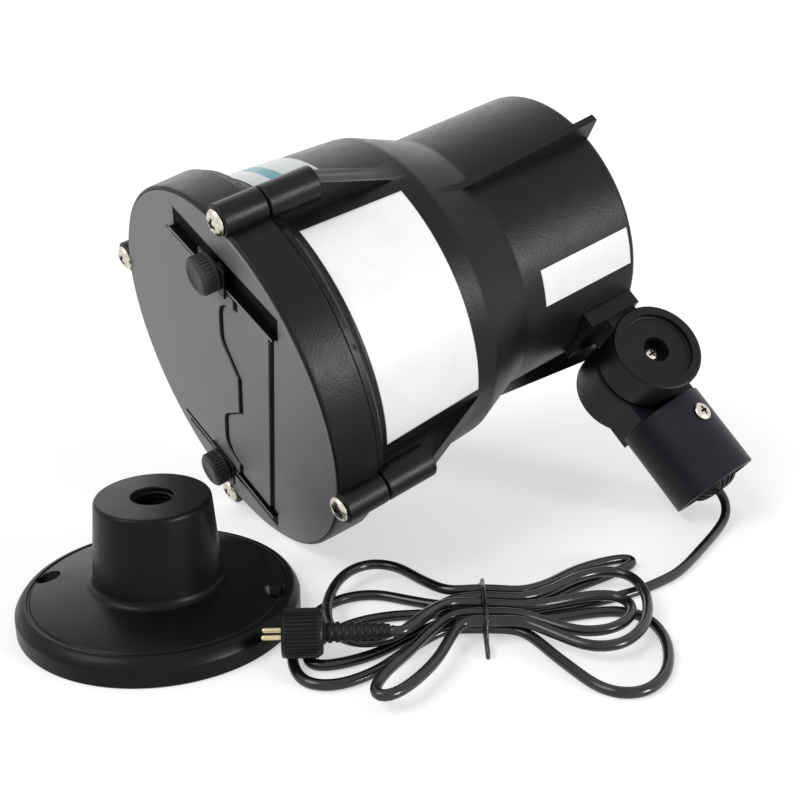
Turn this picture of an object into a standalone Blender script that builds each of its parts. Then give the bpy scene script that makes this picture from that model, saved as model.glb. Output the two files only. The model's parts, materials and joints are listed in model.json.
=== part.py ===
"""Laser bird deterrent: a round projector lying beside its wall flange, with a tilting knuckle,
two beam shutters and a hank of low-voltage cord.

All sizes are in millimetres and are scaled to metres when a mesh is made. The projector is modelled in
its own frame: +Z runs from the front disc to the rear wall, +X points to the tilting knuckle and -Y
along the knuckle's screw, towards the open side. The row's frame has its origin at the centre of the
wall flange's underside, which stands on the ground, and +Z up.
"""
import math

import bmesh
import bpy
from mathutils import Matrix, Vector

# Units and clearances
MM = 0.001
FIT = 0.3
STEPS_LARGE = 44
STEPS_SMALL = 16

# Front cap and front plate
CAP_FRONT_RADIUS = 82.0
CAP_REAR_RADIUS = CAP_FRONT_RADIUS + 0.7
CAP_DEPTH = 18.3
CAP_WALL = 5.0
CAP_LEDGE = 4.3
CAP_LEDGE_RADIUS = CAP_FRONT_RADIUS - 12.0
CAP_EDGE = 0.6
CAP_LEDGE_FRONT = 1.9
PLATE_RADIUS = CAP_FRONT_RADIUS - 1.6
PLATE_THICK = 2.4
PLATE_EDGE = 0.5
APERTURE_WIDTH = 92.0
APERTURE_HEIGHT = 52.0

# Shutters, their rails and clamps, in the front plate's own frame: x along the slide, y across it
SLIDE_ANGLE = -16.5
SHUTTER_HALF_WIDTH = PLATE_RADIUS - 24.4
SHUTTER_THICK = 0.8
LOWER_SHUTTER_EDGE = 35.5
LOWER_SHUTTER_LENGTH = 57.5
UPPER_SHUTTER_TOP = 38.0
TAB_REACH = 14.0
TAB_HALF_WIDTH = 11.5
NOTCH_REACH = 1.5
NOTCH_NEAR = SHUTTER_HALF_WIDTH / 2
NOTCH_FAR = SHUTTER_HALF_WIDTH - 18.0
NOTCH_RADIUS = 11.0
RAIL_WIDTH = 1.2
RAIL_HIGH = PLATE_RADIUS / 2 - 0.2
RAIL_LOW = RAIL_HIGH - 6.0
CHANNEL_WIDTH = 11.0
CHANNEL_DEPTH = 1.5
CLAMP_PLACE = SHUTTER_HALF_WIDTH + 5.0
CLAMP_WIDTH = 14.0
CLAMP_LENGTH = 18.0
CLAMP_THICK = 1.2
THUMB_RADIUS = 8.0
THUMB_HEIGHT = 7.0
THUMB_SHANK_RADIUS = 1.9
THUMB_RIBS = 16
THUMB_RIB_DEPTH = 0.45

# Window behind the plate
GASKET_THICK = 1.0
GASKET_BORDER = 6.0
GLASS_THICK = 3.0
RETAINER_THICK = 2.0

# Corner bosses that hold the cap to the housing
BOSS_ANGLES = (-106.5, -16.5, 73.5, 163.5)
BOSS_REACH = CAP_FRONT_RADIUS + 1.6
BOSS_RADIUS = 7.0
BOSS_FRONT = 0.6
BOSS_LENGTH = 42.0
RAMP_END = 79.0
RAMP_WIDTH = 9.0
SCREW_HEAD_RADIUS = 5.5
SCREW_HEAD_HEIGHT = 2.6
SCREW_SHANK_RADIUS = 2.0
SCREW_LENGTH = 26.0

# Housing
SEAM = 0.6
FLANGE_RADIUS = CAP_FRONT_RADIUS - 1.0
FLANGE_THICK = 3.2
BARREL_FRONT_RADIUS = FLANGE_RADIUS - 6.0
BARREL_REAR_RADIUS = BARREL_FRONT_RADIUS - 3.0
BARREL_START = 26.5
TAPER_START = 87.7
TAPER_END = 114.2
REAR_RADIUS = BARREL_REAR_RADIUS - 10.5
HOUSING_LENGTH = 180.0
HOUSING_WALL = 3.0
REAR_ROUND = 3.0
SEAL_RADIUS = FLANGE_RADIUS - 2.8
SEAL_WIDTH = 1.6
FIN_ANGLES = (-93.7, 26.3, 146.3)
FIN_START = 104.0
FIN_HEIGHT = 11.0
FIN_THICK = 3.2

# Labels and sticker, as angles about the body axis and places along it
LABEL_THICK = 0.25
SIDE_LABEL = (-97.5, -24.0, 28.0, 77.0)
REAR_LABEL = (-51.0, -35.0, HOUSING_LENGTH - 55.0, HOUSING_LENGTH - 4.0)
TOP_STICKER = (-150.0, -116.0, 29.0, 57.0)

# Knuckle: two round halves face to face on one screw
KNUCKLE_REACH = REAR_RADIUS + 25.5
KNUCKLE_PLACE = HOUSING_LENGTH - 8.3
KNUCKLE_RADIUS = 21.3
KNUCKLE_HALF = 20.0
FACE_RECESS_RADIUS = 16.8
FACE_RECESS_DEPTH = 2.4
SCREW_WELL_RADIUS = 6.2
SCREW_WELL_DEPTH = 9.0
PIVOT_HEAD_RADIUS = 3.6
PIVOT_HEAD_HEIGHT = 2.4
PIVOT_SHANK_RADIUS = 2.6
FRICTION_RADIUS = 12.0
FRICTION_THICK = 0.9
FOOT_THICK = 3.0
FOOT_START = HOUSING_LENGTH - 32.0
FOOT_END = HOUSING_LENGTH - 3.0
FOOT_NEAR = 22.0
FOOT_FAR = 8.0
NECK_HALF_LENGTH = 13.0

# Socket arm: the far knuckle half and the pipe socket
SOCKET_RADIUS = 20.5
SOCKET_BORE = 16.8
SOCKET_OFFSET = 10.0
SOCKET_LENGTH = 63.8
SOCKET_START = 22.1
SOCKET_FLOOR = 27.0
SOCKET_EDGE = 0.6
ARM_DEPTH = 26.0
LINER_THICK = 1.2
LINER_LENGTH = 24.0
LINER_INSET = 1.6
GLAND_RADIUS = 12.0
GLAND_LENGTH = 22.0
GLAND_NUT_RADIUS = 12.6
GLAND_NUT_LENGTH = 9.0
GLAND_NUT_PROUD = 3.0
GLAND_NUT_RIBS = 18
SET_SCREW_RADIUS = 4.3
SET_SCREW_HEIGHT = 1.6
SET_SCREW_PLACE = 34.0
SET_SCREW_ANGLE = -103.0

# Laser, drive and circuit board inside the housing
CHASSIS_PLACE = 91.2
CHASSIS_THICK = 2.0
LASER_RADIUS = 9.0
LASER_LENGTH = 56.0
LASER_FRONT = 44.0
FOCUS_RADIUS = 7.0
FOCUS_LENGTH = 4.0
HEAT_SINK_LENGTH = 28.0
HEAT_SINK_FINS = 12
MOTOR_OFFSET = BARREL_REAR_RADIUS / 2 - 6.0
HEAT_SINK_RADIUS = 0.6 * MOTOR_OFFSET - 1.0
MOTOR_RADIUS = MOTOR_OFFSET - HEAT_SINK_RADIUS - 2.0
MOTOR_LENGTH = 42.0
SHAFT_RADIUS = 1.5
WHEEL_RADIUS = MOTOR_OFFSET + 5.0
WHEEL_THICK = 1.6
WHEEL_PLACE = 36.0
WHEEL_HUB_RADIUS = 5.0
WHEEL_HUB_LENGTH = 6.0
BOARD_PLACE = CHASSIS_PLACE + 28.8
BOARD_THICK = 1.6
BOARD_RADIUS = REAR_RADIUS - 11.5
POST_RADIUS = 3.0
POST_CIRCLE = BOARD_RADIUS - 8.0
LEAD_HOLE_RADIUS = 4.5
INNER_LEAD_RADIUS = 1.6
LEAD_SOCKET_X = 30.0
LEAD_SOCKET_HEIGHT = 7.0

# Wall flange
FLANGE_BASE_RADIUS = 55.0
FLANGE_EDGE_HEIGHT = 7.0
FLANGE_SHOULDER_HEIGHT = 11.0
FLANGE_TOP_HEIGHT = 15.0
HUB_FOOT_RADIUS = 25.0
HUB_TOP_RADIUS = 22.4
HUB_HEIGHT = 50.0
HUB_HOLE_RADIUS = 8.2
HUB_HOLE_DEPTH = 32.0
FLANGE_HOLE_CIRCLE = 45.6
FLANGE_HOLE_RADIUS = 2.7
FLANGE_SINK_RADIUS = 5.8
FLANGE_SINK_DEPTH = 3.0
FLANGE_HOLE_AZIMUTH = -7.0

# How the projector lies: its heading on the ground and where its front disc is, from the flange
HEADING = 35.0
REST_X = 21.4
REST_Y = 60.4

# Cord, hank and plug
CORD_RADIUS = 2.1
HANK_CENTRE = (126.8, -11.0)
SLOT_PITCH = 3.0
ROW_PITCH = 5.0
WAIST_HALF = 5.0
LOBE_POINTS = 12
JOIN_PLACE = (152.8, -3.4)
JOIN_AZIMUTH = 18.0
TIE_WIRE_RADIUS = 0.8
TIE_TAIL_FAR = 12.0
TIE_TAIL_NEAR = 9.0
PLUG_TIP = (44.3, -40.0)
PLUG_AZIMUTH = 3.0
PIN_LENGTH = 7.5
PIN_RADIUS = 0.95
PIN_PITCH = 5.0
PIN_ROOT = 4.0
COLLAR_RADIUS = 9.0
COLLAR_LENGTH = 15.0
COLLAR_RIBS = 18
PLUG_BODY_RADIUS = 6.4
RELIEF_LENGTH = 24.2
RELIEF_RADIUS = 3.9
RELIEF_RIBS = 7

# The hank's half loops in the order the cord runs through them. Each leaves and enters the tie at two
# slots, counted from the far side, with the odd ones below and the even ones above. reach is how far it
# goes from the tie, spread its half width (positive when the far run comes first), lean and bend how far
# its tip swings sideways, skew how far its runs slip past each other, and level the layer that it lies in.
LOBES = (
    {"side": -1, "slots": (3, 5), "level": 0, "reach": 61.5, "spread": 14.2,
     "lean": -10.8, "bend": -13.8, "skew": -1.9},
    {"side": 1, "slots": (5, 7), "level": 0, "reach": 62.4, "spread": 28.0,
     "lean": -65.0, "bend": 49.8, "skew": 0.5},
    {"side": -1, "slots": (7, 1), "level": 0, "reach": 66.9, "spread": -30.0,
     "lean": 0.2, "bend": -24.8, "skew": -1.4},
    {"side": 1, "slots": (1, 0), "level": 1, "reach": 62.4, "spread": -4.8,
     "lean": 63.5, "bend": -13.6, "skew": 0.3},
    {"side": -1, "slots": (0, 2), "level": 1, "reach": 55.6, "spread": 30.5,
     "lean": 19.9, "bend": -14.9, "skew": -1.6},
    {"side": 1, "slots": (2, 8), "level": 1, "reach": 59.4, "spread": 28.0,
     "lean": -14.2, "bend": 23.9, "skew": 1.3},
    {"side": -1, "slots": (8, 6), "level": 1, "reach": 34.4, "spread": -1.6,
     "lean": -58.0, "bend": -1.0, "skew": -6.0},
    {"side": 1, "slots": (6, 4), "level": 1, "reach": 52.2, "spread": -12.7,
     "lean": -22.3, "bend": 25.9, "skew": 1.4},
)


def ground_clear():
    """Empty the scene."""
    for old in list(bpy.data.objects):
        bpy.data.objects.remove(old)


def material(name, colour, roughness, metallic=0.0):
    made = bpy.data.materials.new(name)
    made.use_nodes = True
    shader = made.node_tree.nodes["Principled BSDF"]
    shader.inputs["Base Color"].default_value = (*colour, 1.0)
    shader.inputs["Roughness"].default_value = roughness
    shader.inputs["Metallic"].default_value = metallic
    return made


def polar(radius, degrees, z=0.0):
    """A point in the frame of a round body, from its radius and its angle about +Z."""
    turn = math.radians(degrees)
    return Vector((radius * math.cos(turn), radius * math.sin(turn), z))


def turned(profile, steps=STEPS_SMALL, scallops=0, scallop_depth=0.0, scallop_from=0.0):
    """Spin a closed outline of (radius, z) points about Z; scallops press ribs into the wide points."""
    shape = bmesh.new()
    corners = [shape.verts.new((radius, 0.0, z)) for radius, z in profile]
    closed = min(radius for radius, z in profile) > 0.0
    count = len(corners) if closed else len(corners) - 1
    edges = [shape.edges.new((corners[i], corners[(i + 1) % len(corners)])) for i in range(count)]
    turns = 2 * round(scallops) if scallops else round(steps)
    bmesh.ops.spin(shape, geom=corners + edges, cent=(0, 0, 0), axis=(0, 0, 1), angle=2 * math.pi,
                   steps=turns, use_merge=True, use_duplicate=False)
    bmesh.ops.remove_doubles(shape, verts=shape.verts, dist=1e-4)
    if scallops:
        for vert in shape.verts:
            reach = math.hypot(vert.co.x, vert.co.y)
            place = round(math.atan2(vert.co.y, vert.co.x) / (2 * math.pi) * turns)
            if reach > scallop_from and place % 2:
                vert.co.x *= 1 - scallop_depth / reach
                vert.co.y *= 1 - scallop_depth / reach
    bmesh.ops.recalc_face_normals(shape, faces=shape.faces)
    return shape


def rod(radius, low, high, steps=STEPS_SMALL, edge=0.0, **ribs):
    """A solid cylinder about Z between two heights, with a chamfer on both rims."""
    profile = [(0.0, low), (radius - edge, low), (radius, low + edge), (radius, high - edge),
               (radius - edge, high), (0.0, high)]
    if edge == 0.0:
        profile = [(0.0, low), (radius, low), (radius, high), (0.0, high)]
    return turned(profile, steps, **ribs)


def tube(outer, inner, low, high, steps=STEPS_SMALL, edge=0.0, **ribs):
    """A hollow cylinder about Z between two heights, with a chamfer on its outer rims."""
    profile = [(inner, low), (outer - edge, low), (outer, low + edge), (outer, high - edge),
               (outer - edge, high), (inner, high)]
    if edge == 0.0:
        profile = [(inner, low), (outer, low), (outer, high), (inner, high)]
    return turned(profile, steps, **ribs)


def prism(outline, low, high):
    """A flat outline of (x, y) points raised between two heights."""
    shape = bmesh.new()
    base = [shape.verts.new((x, y, low)) for x, y in outline]
    face = shape.faces.new(base)
    raised = bmesh.ops.extrude_face_region(shape, geom=[face])
    moved = [item for item in raised["geom"] if isinstance(item, bmesh.types.BMVert)]
    bmesh.ops.translate(shape, verts=moved, vec=(0, 0, high - low))
    bmesh.ops.recalc_face_normals(shape, faces=shape.faces)
    return shape


def block(x_low, x_high, y_low, y_high, z_low, z_high):
    return prism([(x_low, y_low), (x_high, y_low), (x_high, y_high), (x_low, y_high)], z_low, z_high)


def frame_plate(width, height, hole_width, hole_height, low, high):
    """A flat rectangular frame: x runs over the height and y over the width."""
    shape = bmesh.new()
    corners = ((-1, -1), (1, -1), (1, 1), (-1, 1))
    outer = [shape.verts.new((x * height / 2, y * width / 2, low)) for x, y in corners]
    inner = [shape.verts.new((x * hole_height / 2, y * hole_width / 2, low)) for x, y in corners]
    for i in range(4):
        after = (i + 1) % 4
        shape.faces.new((outer[i], outer[after], inner[after], inner[i]))
    raised = bmesh.ops.extrude_face_region(shape, geom=list(shape.faces))
    moved = [item for item in raised["geom"] if isinstance(item, bmesh.types.BMVert)]
    bmesh.ops.translate(shape, verts=moved, vec=(0, 0, high - low))
    bmesh.ops.recalc_face_normals(shape, faces=shape.faces)
    return shape


def moved(shape, matrix):
    bmesh.ops.transform(shape, matrix=matrix, verts=shape.verts)
    return shape


def piece(name, shape, look, parent, at=(0.0, 0.0, 0.0), sharp=35.0):
    """Make one object from a mesh in millimetres, with its origin at a place in its parent's frame."""
    origin = Vector(at)
    bmesh.ops.translate(shape, verts=shape.verts, vec=-origin)
    bmesh.ops.scale(shape, vec=(MM, MM, MM), verts=shape.verts)
    data = bpy.data.meshes.new(name)
    shape.to_mesh(data)
    shape.free()
    data.materials.append(look)
    data.shade_smooth()
    data.set_sharp_from_angle(angle=math.radians(sharp))
    made = bpy.data.objects.new(name, data)
    bpy.context.scene.collection.objects.link(made)
    made.parent = parent
    made.location = (origin - parent_origin(parent)) * MM
    return made


def parent_origin(parent):
    """The place of a frame's empty in the projector's own frame, in millimetres."""
    return Vector(parent["place"]) if parent is not None and "place" in parent else Vector((0, 0, 0))


def frame_empty(name, parent, place=(0.0, 0.0, 0.0)):
    """An empty that carries a body; place is where it is in the projector's own frame."""
    made = bpy.data.objects.new(name, None)
    bpy.context.scene.collection.objects.link(made)
    made.parent = parent
    made.location = (Vector(place) - parent_origin(parent)) * MM
    made["place"] = tuple(place)
    return made


def shaped(target, kind, *shapes):
    """Cut shapes from an object, or join them to it, with Booleans that stay on it.

    Three pieces with many round joints use the manifold solver, where the exact one leaves open edges.
    """
    for shape in shapes:
        tool = piece(target.name + "_" + kind.lower(), shape, target.data.materials[0], target.parent,
                     at=target_origin(target))
        tool.hide_render = True
        tool.display_type = "WIRE"
        modifier = target.modifiers.new(kind.title(), "BOOLEAN")
        modifier.operation = kind
        joined = target.name in ("front_cap", "pivot_bracket", "socket_arm")
        modifier.solver = "MANIFOLD" if joined else "EXACT"
        modifier.object = tool
    return target


def target_origin(target):
    return target.location / MM + parent_origin(target.parent)


def arc(cx, cy, radius, start, end, count):
    """Points on an arc, from one angle to another in degrees."""
    return [(cx + radius * math.cos(math.radians(start + (end - start) * i / count)),
             cy + radius * math.sin(math.radians(start + (end - start) * i / count)))
            for i in range(count + 1)]


# Axes of the projector's parts: a tool that stands along X or Y instead of Z
ALONG_X = Matrix.Rotation(math.radians(90), 4, "Y")
TOWARDS_NEAR = Matrix.Rotation(math.radians(90), 4, "X")
ACROSS = Matrix(((0, 0, 1, 0), (1, 0, 0, 0), (0, 1, 0, 0), (0, 0, 0, 1)))
SKEWED = Matrix.Rotation(math.radians(11), 4, "Z")


def barrel_radius(z):
    """Outer radius of the housing at a place along its axis."""
    if z < TAPER_START:
        part = (z - BARREL_START) / (TAPER_START - BARREL_START)
        return BARREL_FRONT_RADIUS + (BARREL_REAR_RADIUS - BARREL_FRONT_RADIUS) * max(part, 0.0)
    part = min((z - TAPER_START) / (TAPER_END - TAPER_START), 1.0)
    return BARREL_REAR_RADIUS + (REAR_RADIUS - BARREL_REAR_RADIUS) * part


# Heights of the layers on the front plate, counted outwards from its face
PLATE_FACE = -(PLATE_THICK - CAP_LEDGE_FRONT + FIT)
PLATE_BACK = PLATE_FACE + PLATE_THICK
LOWER_TOP = PLATE_FACE - FIT - SHUTTER_THICK
UPPER_TOP = LOWER_TOP - FIT - SHUTTER_THICK
CLAMP_TOP = UPPER_TOP - FIT - CLAMP_THICK
THUMB_TOP = CLAMP_TOP - FIT - THUMB_HEIGHT
LEDGE_BACK = CAP_LEDGE_FRONT + CAP_LEDGE
HOUSING_FRONT = CAP_DEPTH + SEAM
SLIDE = Matrix.Rotation(math.radians(SLIDE_ANGLE), 4, "Z")
RAIL_PLACE = SHUTTER_HALF_WIDTH + FIT + RAIL_WIDTH / 2
CHANNEL_PLACE = RAIL_PLACE + CHANNEL_WIDTH / 2 - RAIL_WIDTH - FIT
GUIDE_FACE = PLATE_FACE + 0.5
SIDES = ((-1, "near"), (1, "far"))


def socket_axis(along):
    """A point on the pipe socket's axis, counted from the knuckle's centre."""
    return Vector((KNUCKLE_REACH + along, SOCKET_OFFSET, KNUCKLE_PLACE))


def low_point(centre, axis, radius, up):
    """The lowest point of a circle when the direction up is given."""
    slope = up - axis * axis.dot(up)
    return centre - slope.normalized() * radius


def resting_pose():
    """How the projector lies: on its front rim, one corner boss and the pipe socket's mouth."""
    axis = Vector((0, 0, 1))
    boss = polar(BOSS_REACH, BOSS_ANGLES[2], -BOSS_FRONT)
    mouth = socket_axis(SOCKET_LENGTH - SOCKET_EDGE)
    up = Vector((-0.68, 0.72, 0.25)).normalized()
    for _ in range(30):
        rim = low_point(Vector((0, 0, CAP_EDGE)), axis, CAP_FRONT_RADIUS, up)
        corner = low_point(boss, axis, BOSS_RADIUS, up)
        foot = low_point(mouth, Vector((1, 0, 0)), SOCKET_RADIUS, up)
        normal = (corner - rim).cross(foot - rim).normalized()
        up = normal if normal.dot(up) > 0 else -normal
    forward = (axis - up * axis.dot(up)).normalized()
    side = up.cross(forward)
    local = Matrix((forward, side, up)).to_4x4()
    pose = Matrix.Rotation(math.radians(HEADING), 4, "Z") @ local
    height = -(pose @ rim).z
    return Matrix.Translation(Vector((REST_X, REST_Y, height))) @ pose


def make_cap(looks, body):
    outer = [(CAP_LEDGE_RADIUS, 0.0), (CAP_FRONT_RADIUS - CAP_EDGE, 0.0), (CAP_FRONT_RADIUS, CAP_EDGE),
             (CAP_REAR_RADIUS, CAP_DEPTH), (CAP_REAR_RADIUS - CAP_WALL, CAP_DEPTH),
             (CAP_REAR_RADIUS - CAP_WALL, LEDGE_BACK), (CAP_LEDGE_RADIUS, LEDGE_BACK)]
    cap = piece("front_cap", turned(outer, STEPS_LARGE), looks["black_plastic"], body)
    for angle in BOSS_ANGLES:
        boss = rod(BOSS_RADIUS, -BOSS_FRONT, CAP_DEPTH, STEPS_SMALL)
        shaped(cap, "UNION", moved(boss, Matrix.Translation(polar(BOSS_REACH, angle))))
    clear = [rod(PLATE_RADIUS + FIT, -BOSS_FRONT - 4.0, CAP_LEDGE_FRONT, STEPS_LARGE)]
    for angle in BOSS_ANGLES:
        hole = rod(SCREW_SHANK_RADIUS + FIT, -5.0, CAP_DEPTH + 5.0, 12)
        clear.append(moved(hole, Matrix.Translation(polar(BOSS_REACH, angle)) @ SKEWED))
    shaped(cap, "DIFFERENCE", *clear)


def screw(head_radius, head_height, shank_radius, length, steps=12):
    """A round-headed screw along +Z with its head's seat at height 0 and a cross in its head."""
    profile = [(0.0, -head_height), (head_radius * 0.55, -head_height),
               (head_radius * 0.9, -head_height * 0.6), (head_radius, 0.0), (shank_radius, 0.0),
               (shank_radius, length - shank_radius), (0.0, length)]
    return turned(profile, steps)


def cross_slot(radius, height, depth=1.0):
    """The cutter for a cross recess in a screw head whose top is at minus the height."""
    reach, half = radius * 0.5, radius * 0.12
    outline = [(reach, half), (half, half), (half, reach), (-half, reach), (-half, half), (-reach, half),
               (-reach, -half), (-half, -half), (-half, -reach), (half, -reach), (half, -half), (reach, -half)]
    return prism(outline, -height - 1.0, -height + depth)


def make_cap_screws(looks, body):
    for index, angle in enumerate(BOSS_ANGLES):
        place = Matrix.Translation(polar(BOSS_REACH, angle, -BOSS_FRONT - FIT))
        twist = place @ Matrix.Rotation(math.radians(25 + 35 * index), 4, "Z")
        shape = screw(SCREW_HEAD_RADIUS, SCREW_HEAD_HEIGHT, SCREW_SHANK_RADIUS, SCREW_LENGTH)
        made = piece("cap_screw_%d" % (index + 1), moved(shape, place), looks["bright_steel"], body)
        shaped(made, "DIFFERENCE", moved(cross_slot(SCREW_HEAD_RADIUS, SCREW_HEAD_HEIGHT), twist))


def make_front_plate(looks, body):
    outline = [(0.0, PLATE_FACE), (PLATE_RADIUS - PLATE_EDGE, PLATE_FACE),
               (PLATE_RADIUS, PLATE_FACE + PLATE_EDGE), (PLATE_RADIUS, PLATE_BACK), (0.0, PLATE_BACK)]
    plate = piece("front_plate", turned(outline, STEPS_LARGE), looks["grey_satin"], body)
    window = block(-APERTURE_HEIGHT / 2, APERTURE_HEIGHT / 2, -APERTURE_WIDTH / 2, APERTURE_WIDTH / 2,
                   PLATE_FACE - 2.0, PLATE_BACK + 2.0)
    shaped(plate, "DIFFERENCE", moved(window, SLIDE))
    for side, name in SIDES:
        middle = side * CHANNEL_PLACE
        pocket = block(-RAIL_LOW - FIT, RAIL_HIGH + FIT, middle - CHANNEL_WIDTH / 2 - FIT,
                       middle + CHANNEL_WIDTH / 2 + FIT, PLATE_FACE - 1.0, PLATE_FACE + CHANNEL_DEPTH)
        hole = rod(THUMB_SHANK_RADIUS + FIT, PLATE_FACE - 1.0, PLATE_BACK + 1.0, 12)
        shaped(plate, "DIFFERENCE", moved(pocket, SLIDE),
               moved(hole, SLIDE @ Matrix.Translation((0, side * CLAMP_PLACE, 0))))
        low, high = CHANNEL_PLACE - CHANNEL_WIDTH / 2, CHANNEL_PLACE + CHANNEL_WIDTH / 2
        rail_low, rail_high = RAIL_PLACE - RAIL_WIDTH / 2, RAIL_PLACE + RAIL_WIDTH / 2
        base = PLATE_FACE + CHANNEL_DEPTH - FIT
        section = [(low, base), (high, base), (high, GUIDE_FACE), (rail_high, GUIDE_FACE),
                   (rail_high, UPPER_TOP), (rail_low, UPPER_TOP), (rail_low, GUIDE_FACE), (low, GUIDE_FACE)]
        strip = moved(prism([(side * y, z) for y, z in section], -RAIL_LOW, RAIL_HIGH), ACROSS)
        guide = piece("shutter_guide_" + name, moved(strip, SLIDE), looks["black_plastic"], body)
        bore = rod(THUMB_SHANK_RADIUS + FIT, PLATE_FACE - 2.0, PLATE_BACK + 2.0, 12)
        shaped(guide, "DIFFERENCE", moved(bore, SLIDE @ Matrix.Translation((0, side * CLAMP_PLACE, 0))))


def upper_shutter_outline():
    """The upper shutter's outline: a tab between two rounded notches on its lower edge."""
    half = [(TAB_REACH, 0.0), (TAB_REACH, TAB_HALF_WIDTH)]
    centre_x = NOTCH_REACH + NOTCH_RADIUS
    half += arc(centre_x, NOTCH_NEAR, NOTCH_RADIUS, 228, 180, 3)
    half += arc(centre_x, NOTCH_FAR, NOTCH_RADIUS, 180, 90, 5)
    half += [(centre_x, SHUTTER_HALF_WIDTH), (-UPPER_SHUTTER_TOP, SHUTTER_HALF_WIDTH)]
    return half + [(x, -y) for x, y in reversed(half) if y > 0.0]


def make_shutters(looks, lower_body, upper_body):
    lower = block(LOWER_SHUTTER_EDGE - LOWER_SHUTTER_LENGTH, LOWER_SHUTTER_EDGE, -SHUTTER_HALF_WIDTH,
                  SHUTTER_HALF_WIDTH, LOWER_TOP, LOWER_TOP + SHUTTER_THICK)
    piece("lower_shutter", moved(lower, SLIDE), looks["grey_satin"], lower_body)
    upper = prism(upper_shutter_outline(), UPPER_TOP, UPPER_TOP + SHUTTER_THICK)
    piece("upper_shutter", moved(upper, SLIDE), looks["grey_satin"], upper_body)


def make_thumb_screws(looks, body):
    for side, name in SIDES:
        place = SLIDE @ Vector((0, side * CLAMP_PLACE, 0))
        frame = frame_empty("thumb_screw_%s_axis" % name, body, place)
        head = [(0.0, THUMB_TOP), (THUMB_RADIUS - 1.4, THUMB_TOP), (THUMB_RADIUS, THUMB_TOP + 1.2),
                (THUMB_RADIUS, CLAMP_TOP - FIT - 0.6), (THUMB_RADIUS - 0.6, CLAMP_TOP - FIT),
                (THUMB_SHANK_RADIUS, CLAMP_TOP - FIT), (THUMB_SHANK_RADIUS, PLATE_BACK), (0.0, PLATE_BACK)]
        shape = turned(head, scallops=THUMB_RIBS, scallop_depth=THUMB_RIB_DEPTH,
                       scallop_from=THUMB_RADIUS - 0.2)
        piece("thumb_screw_" + name, moved(shape, Matrix.Translation(place)), looks["thumb_plastic"], frame,
              at=place)
        middle = side * (CLAMP_PLACE - 1.0)
        tab = block(-CLAMP_LENGTH / 2, CLAMP_LENGTH / 2, middle - CLAMP_WIDTH / 2, middle + CLAMP_WIDTH / 2,
                    CLAMP_TOP, CLAMP_TOP + CLAMP_THICK)
        clamp = piece("shutter_clamp_" + name, moved(tab, SLIDE), looks["black_plastic"], body)
        bore = rod(THUMB_SHANK_RADIUS + FIT, CLAMP_TOP - 1.0, CLAMP_TOP + CLAMP_THICK + 1.0, 12)
        shaped(clamp, "DIFFERENCE", moved(bore, SLIDE @ Matrix.Translation((0, side * CLAMP_PLACE, 0))))


def make_window(looks, body):
    low = PLATE_BACK + FIT
    gasket = frame_plate(APERTURE_WIDTH + 2 * GASKET_BORDER, APERTURE_HEIGHT + 2 * GASKET_BORDER,
                         APERTURE_WIDTH, APERTURE_HEIGHT, low, low + GASKET_THICK)
    piece("window_gasket", moved(gasket, SLIDE), looks["rubber"], body)
    low += GASKET_THICK + FIT
    high = LEDGE_BACK
    glass = block(-APERTURE_HEIGHT / 2 - GASKET_BORDER, APERTURE_HEIGHT / 2 + GASKET_BORDER,
                  -APERTURE_WIDTH / 2 - GASKET_BORDER, APERTURE_WIDTH / 2 + GASKET_BORDER, low, high)
    piece("window_glass", moved(glass, SLIDE), looks["glass"], body)
    low = high + FIT
    plate = rod(BOSS_REACH - BOSS_RADIUS - FIT, low, low + RETAINER_THICK, STEPS_LARGE)
    retainer = piece("window_retainer", plate, looks["black_plastic"], body)
    opening = block(-APERTURE_HEIGHT / 2, APERTURE_HEIGHT / 2, -APERTURE_WIDTH / 2, APERTURE_WIDTH / 2,
                    low - 2.0, low + RETAINER_THICK + 2.0)
    shaped(retainer, "DIFFERENCE", moved(opening, SLIDE))


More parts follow.
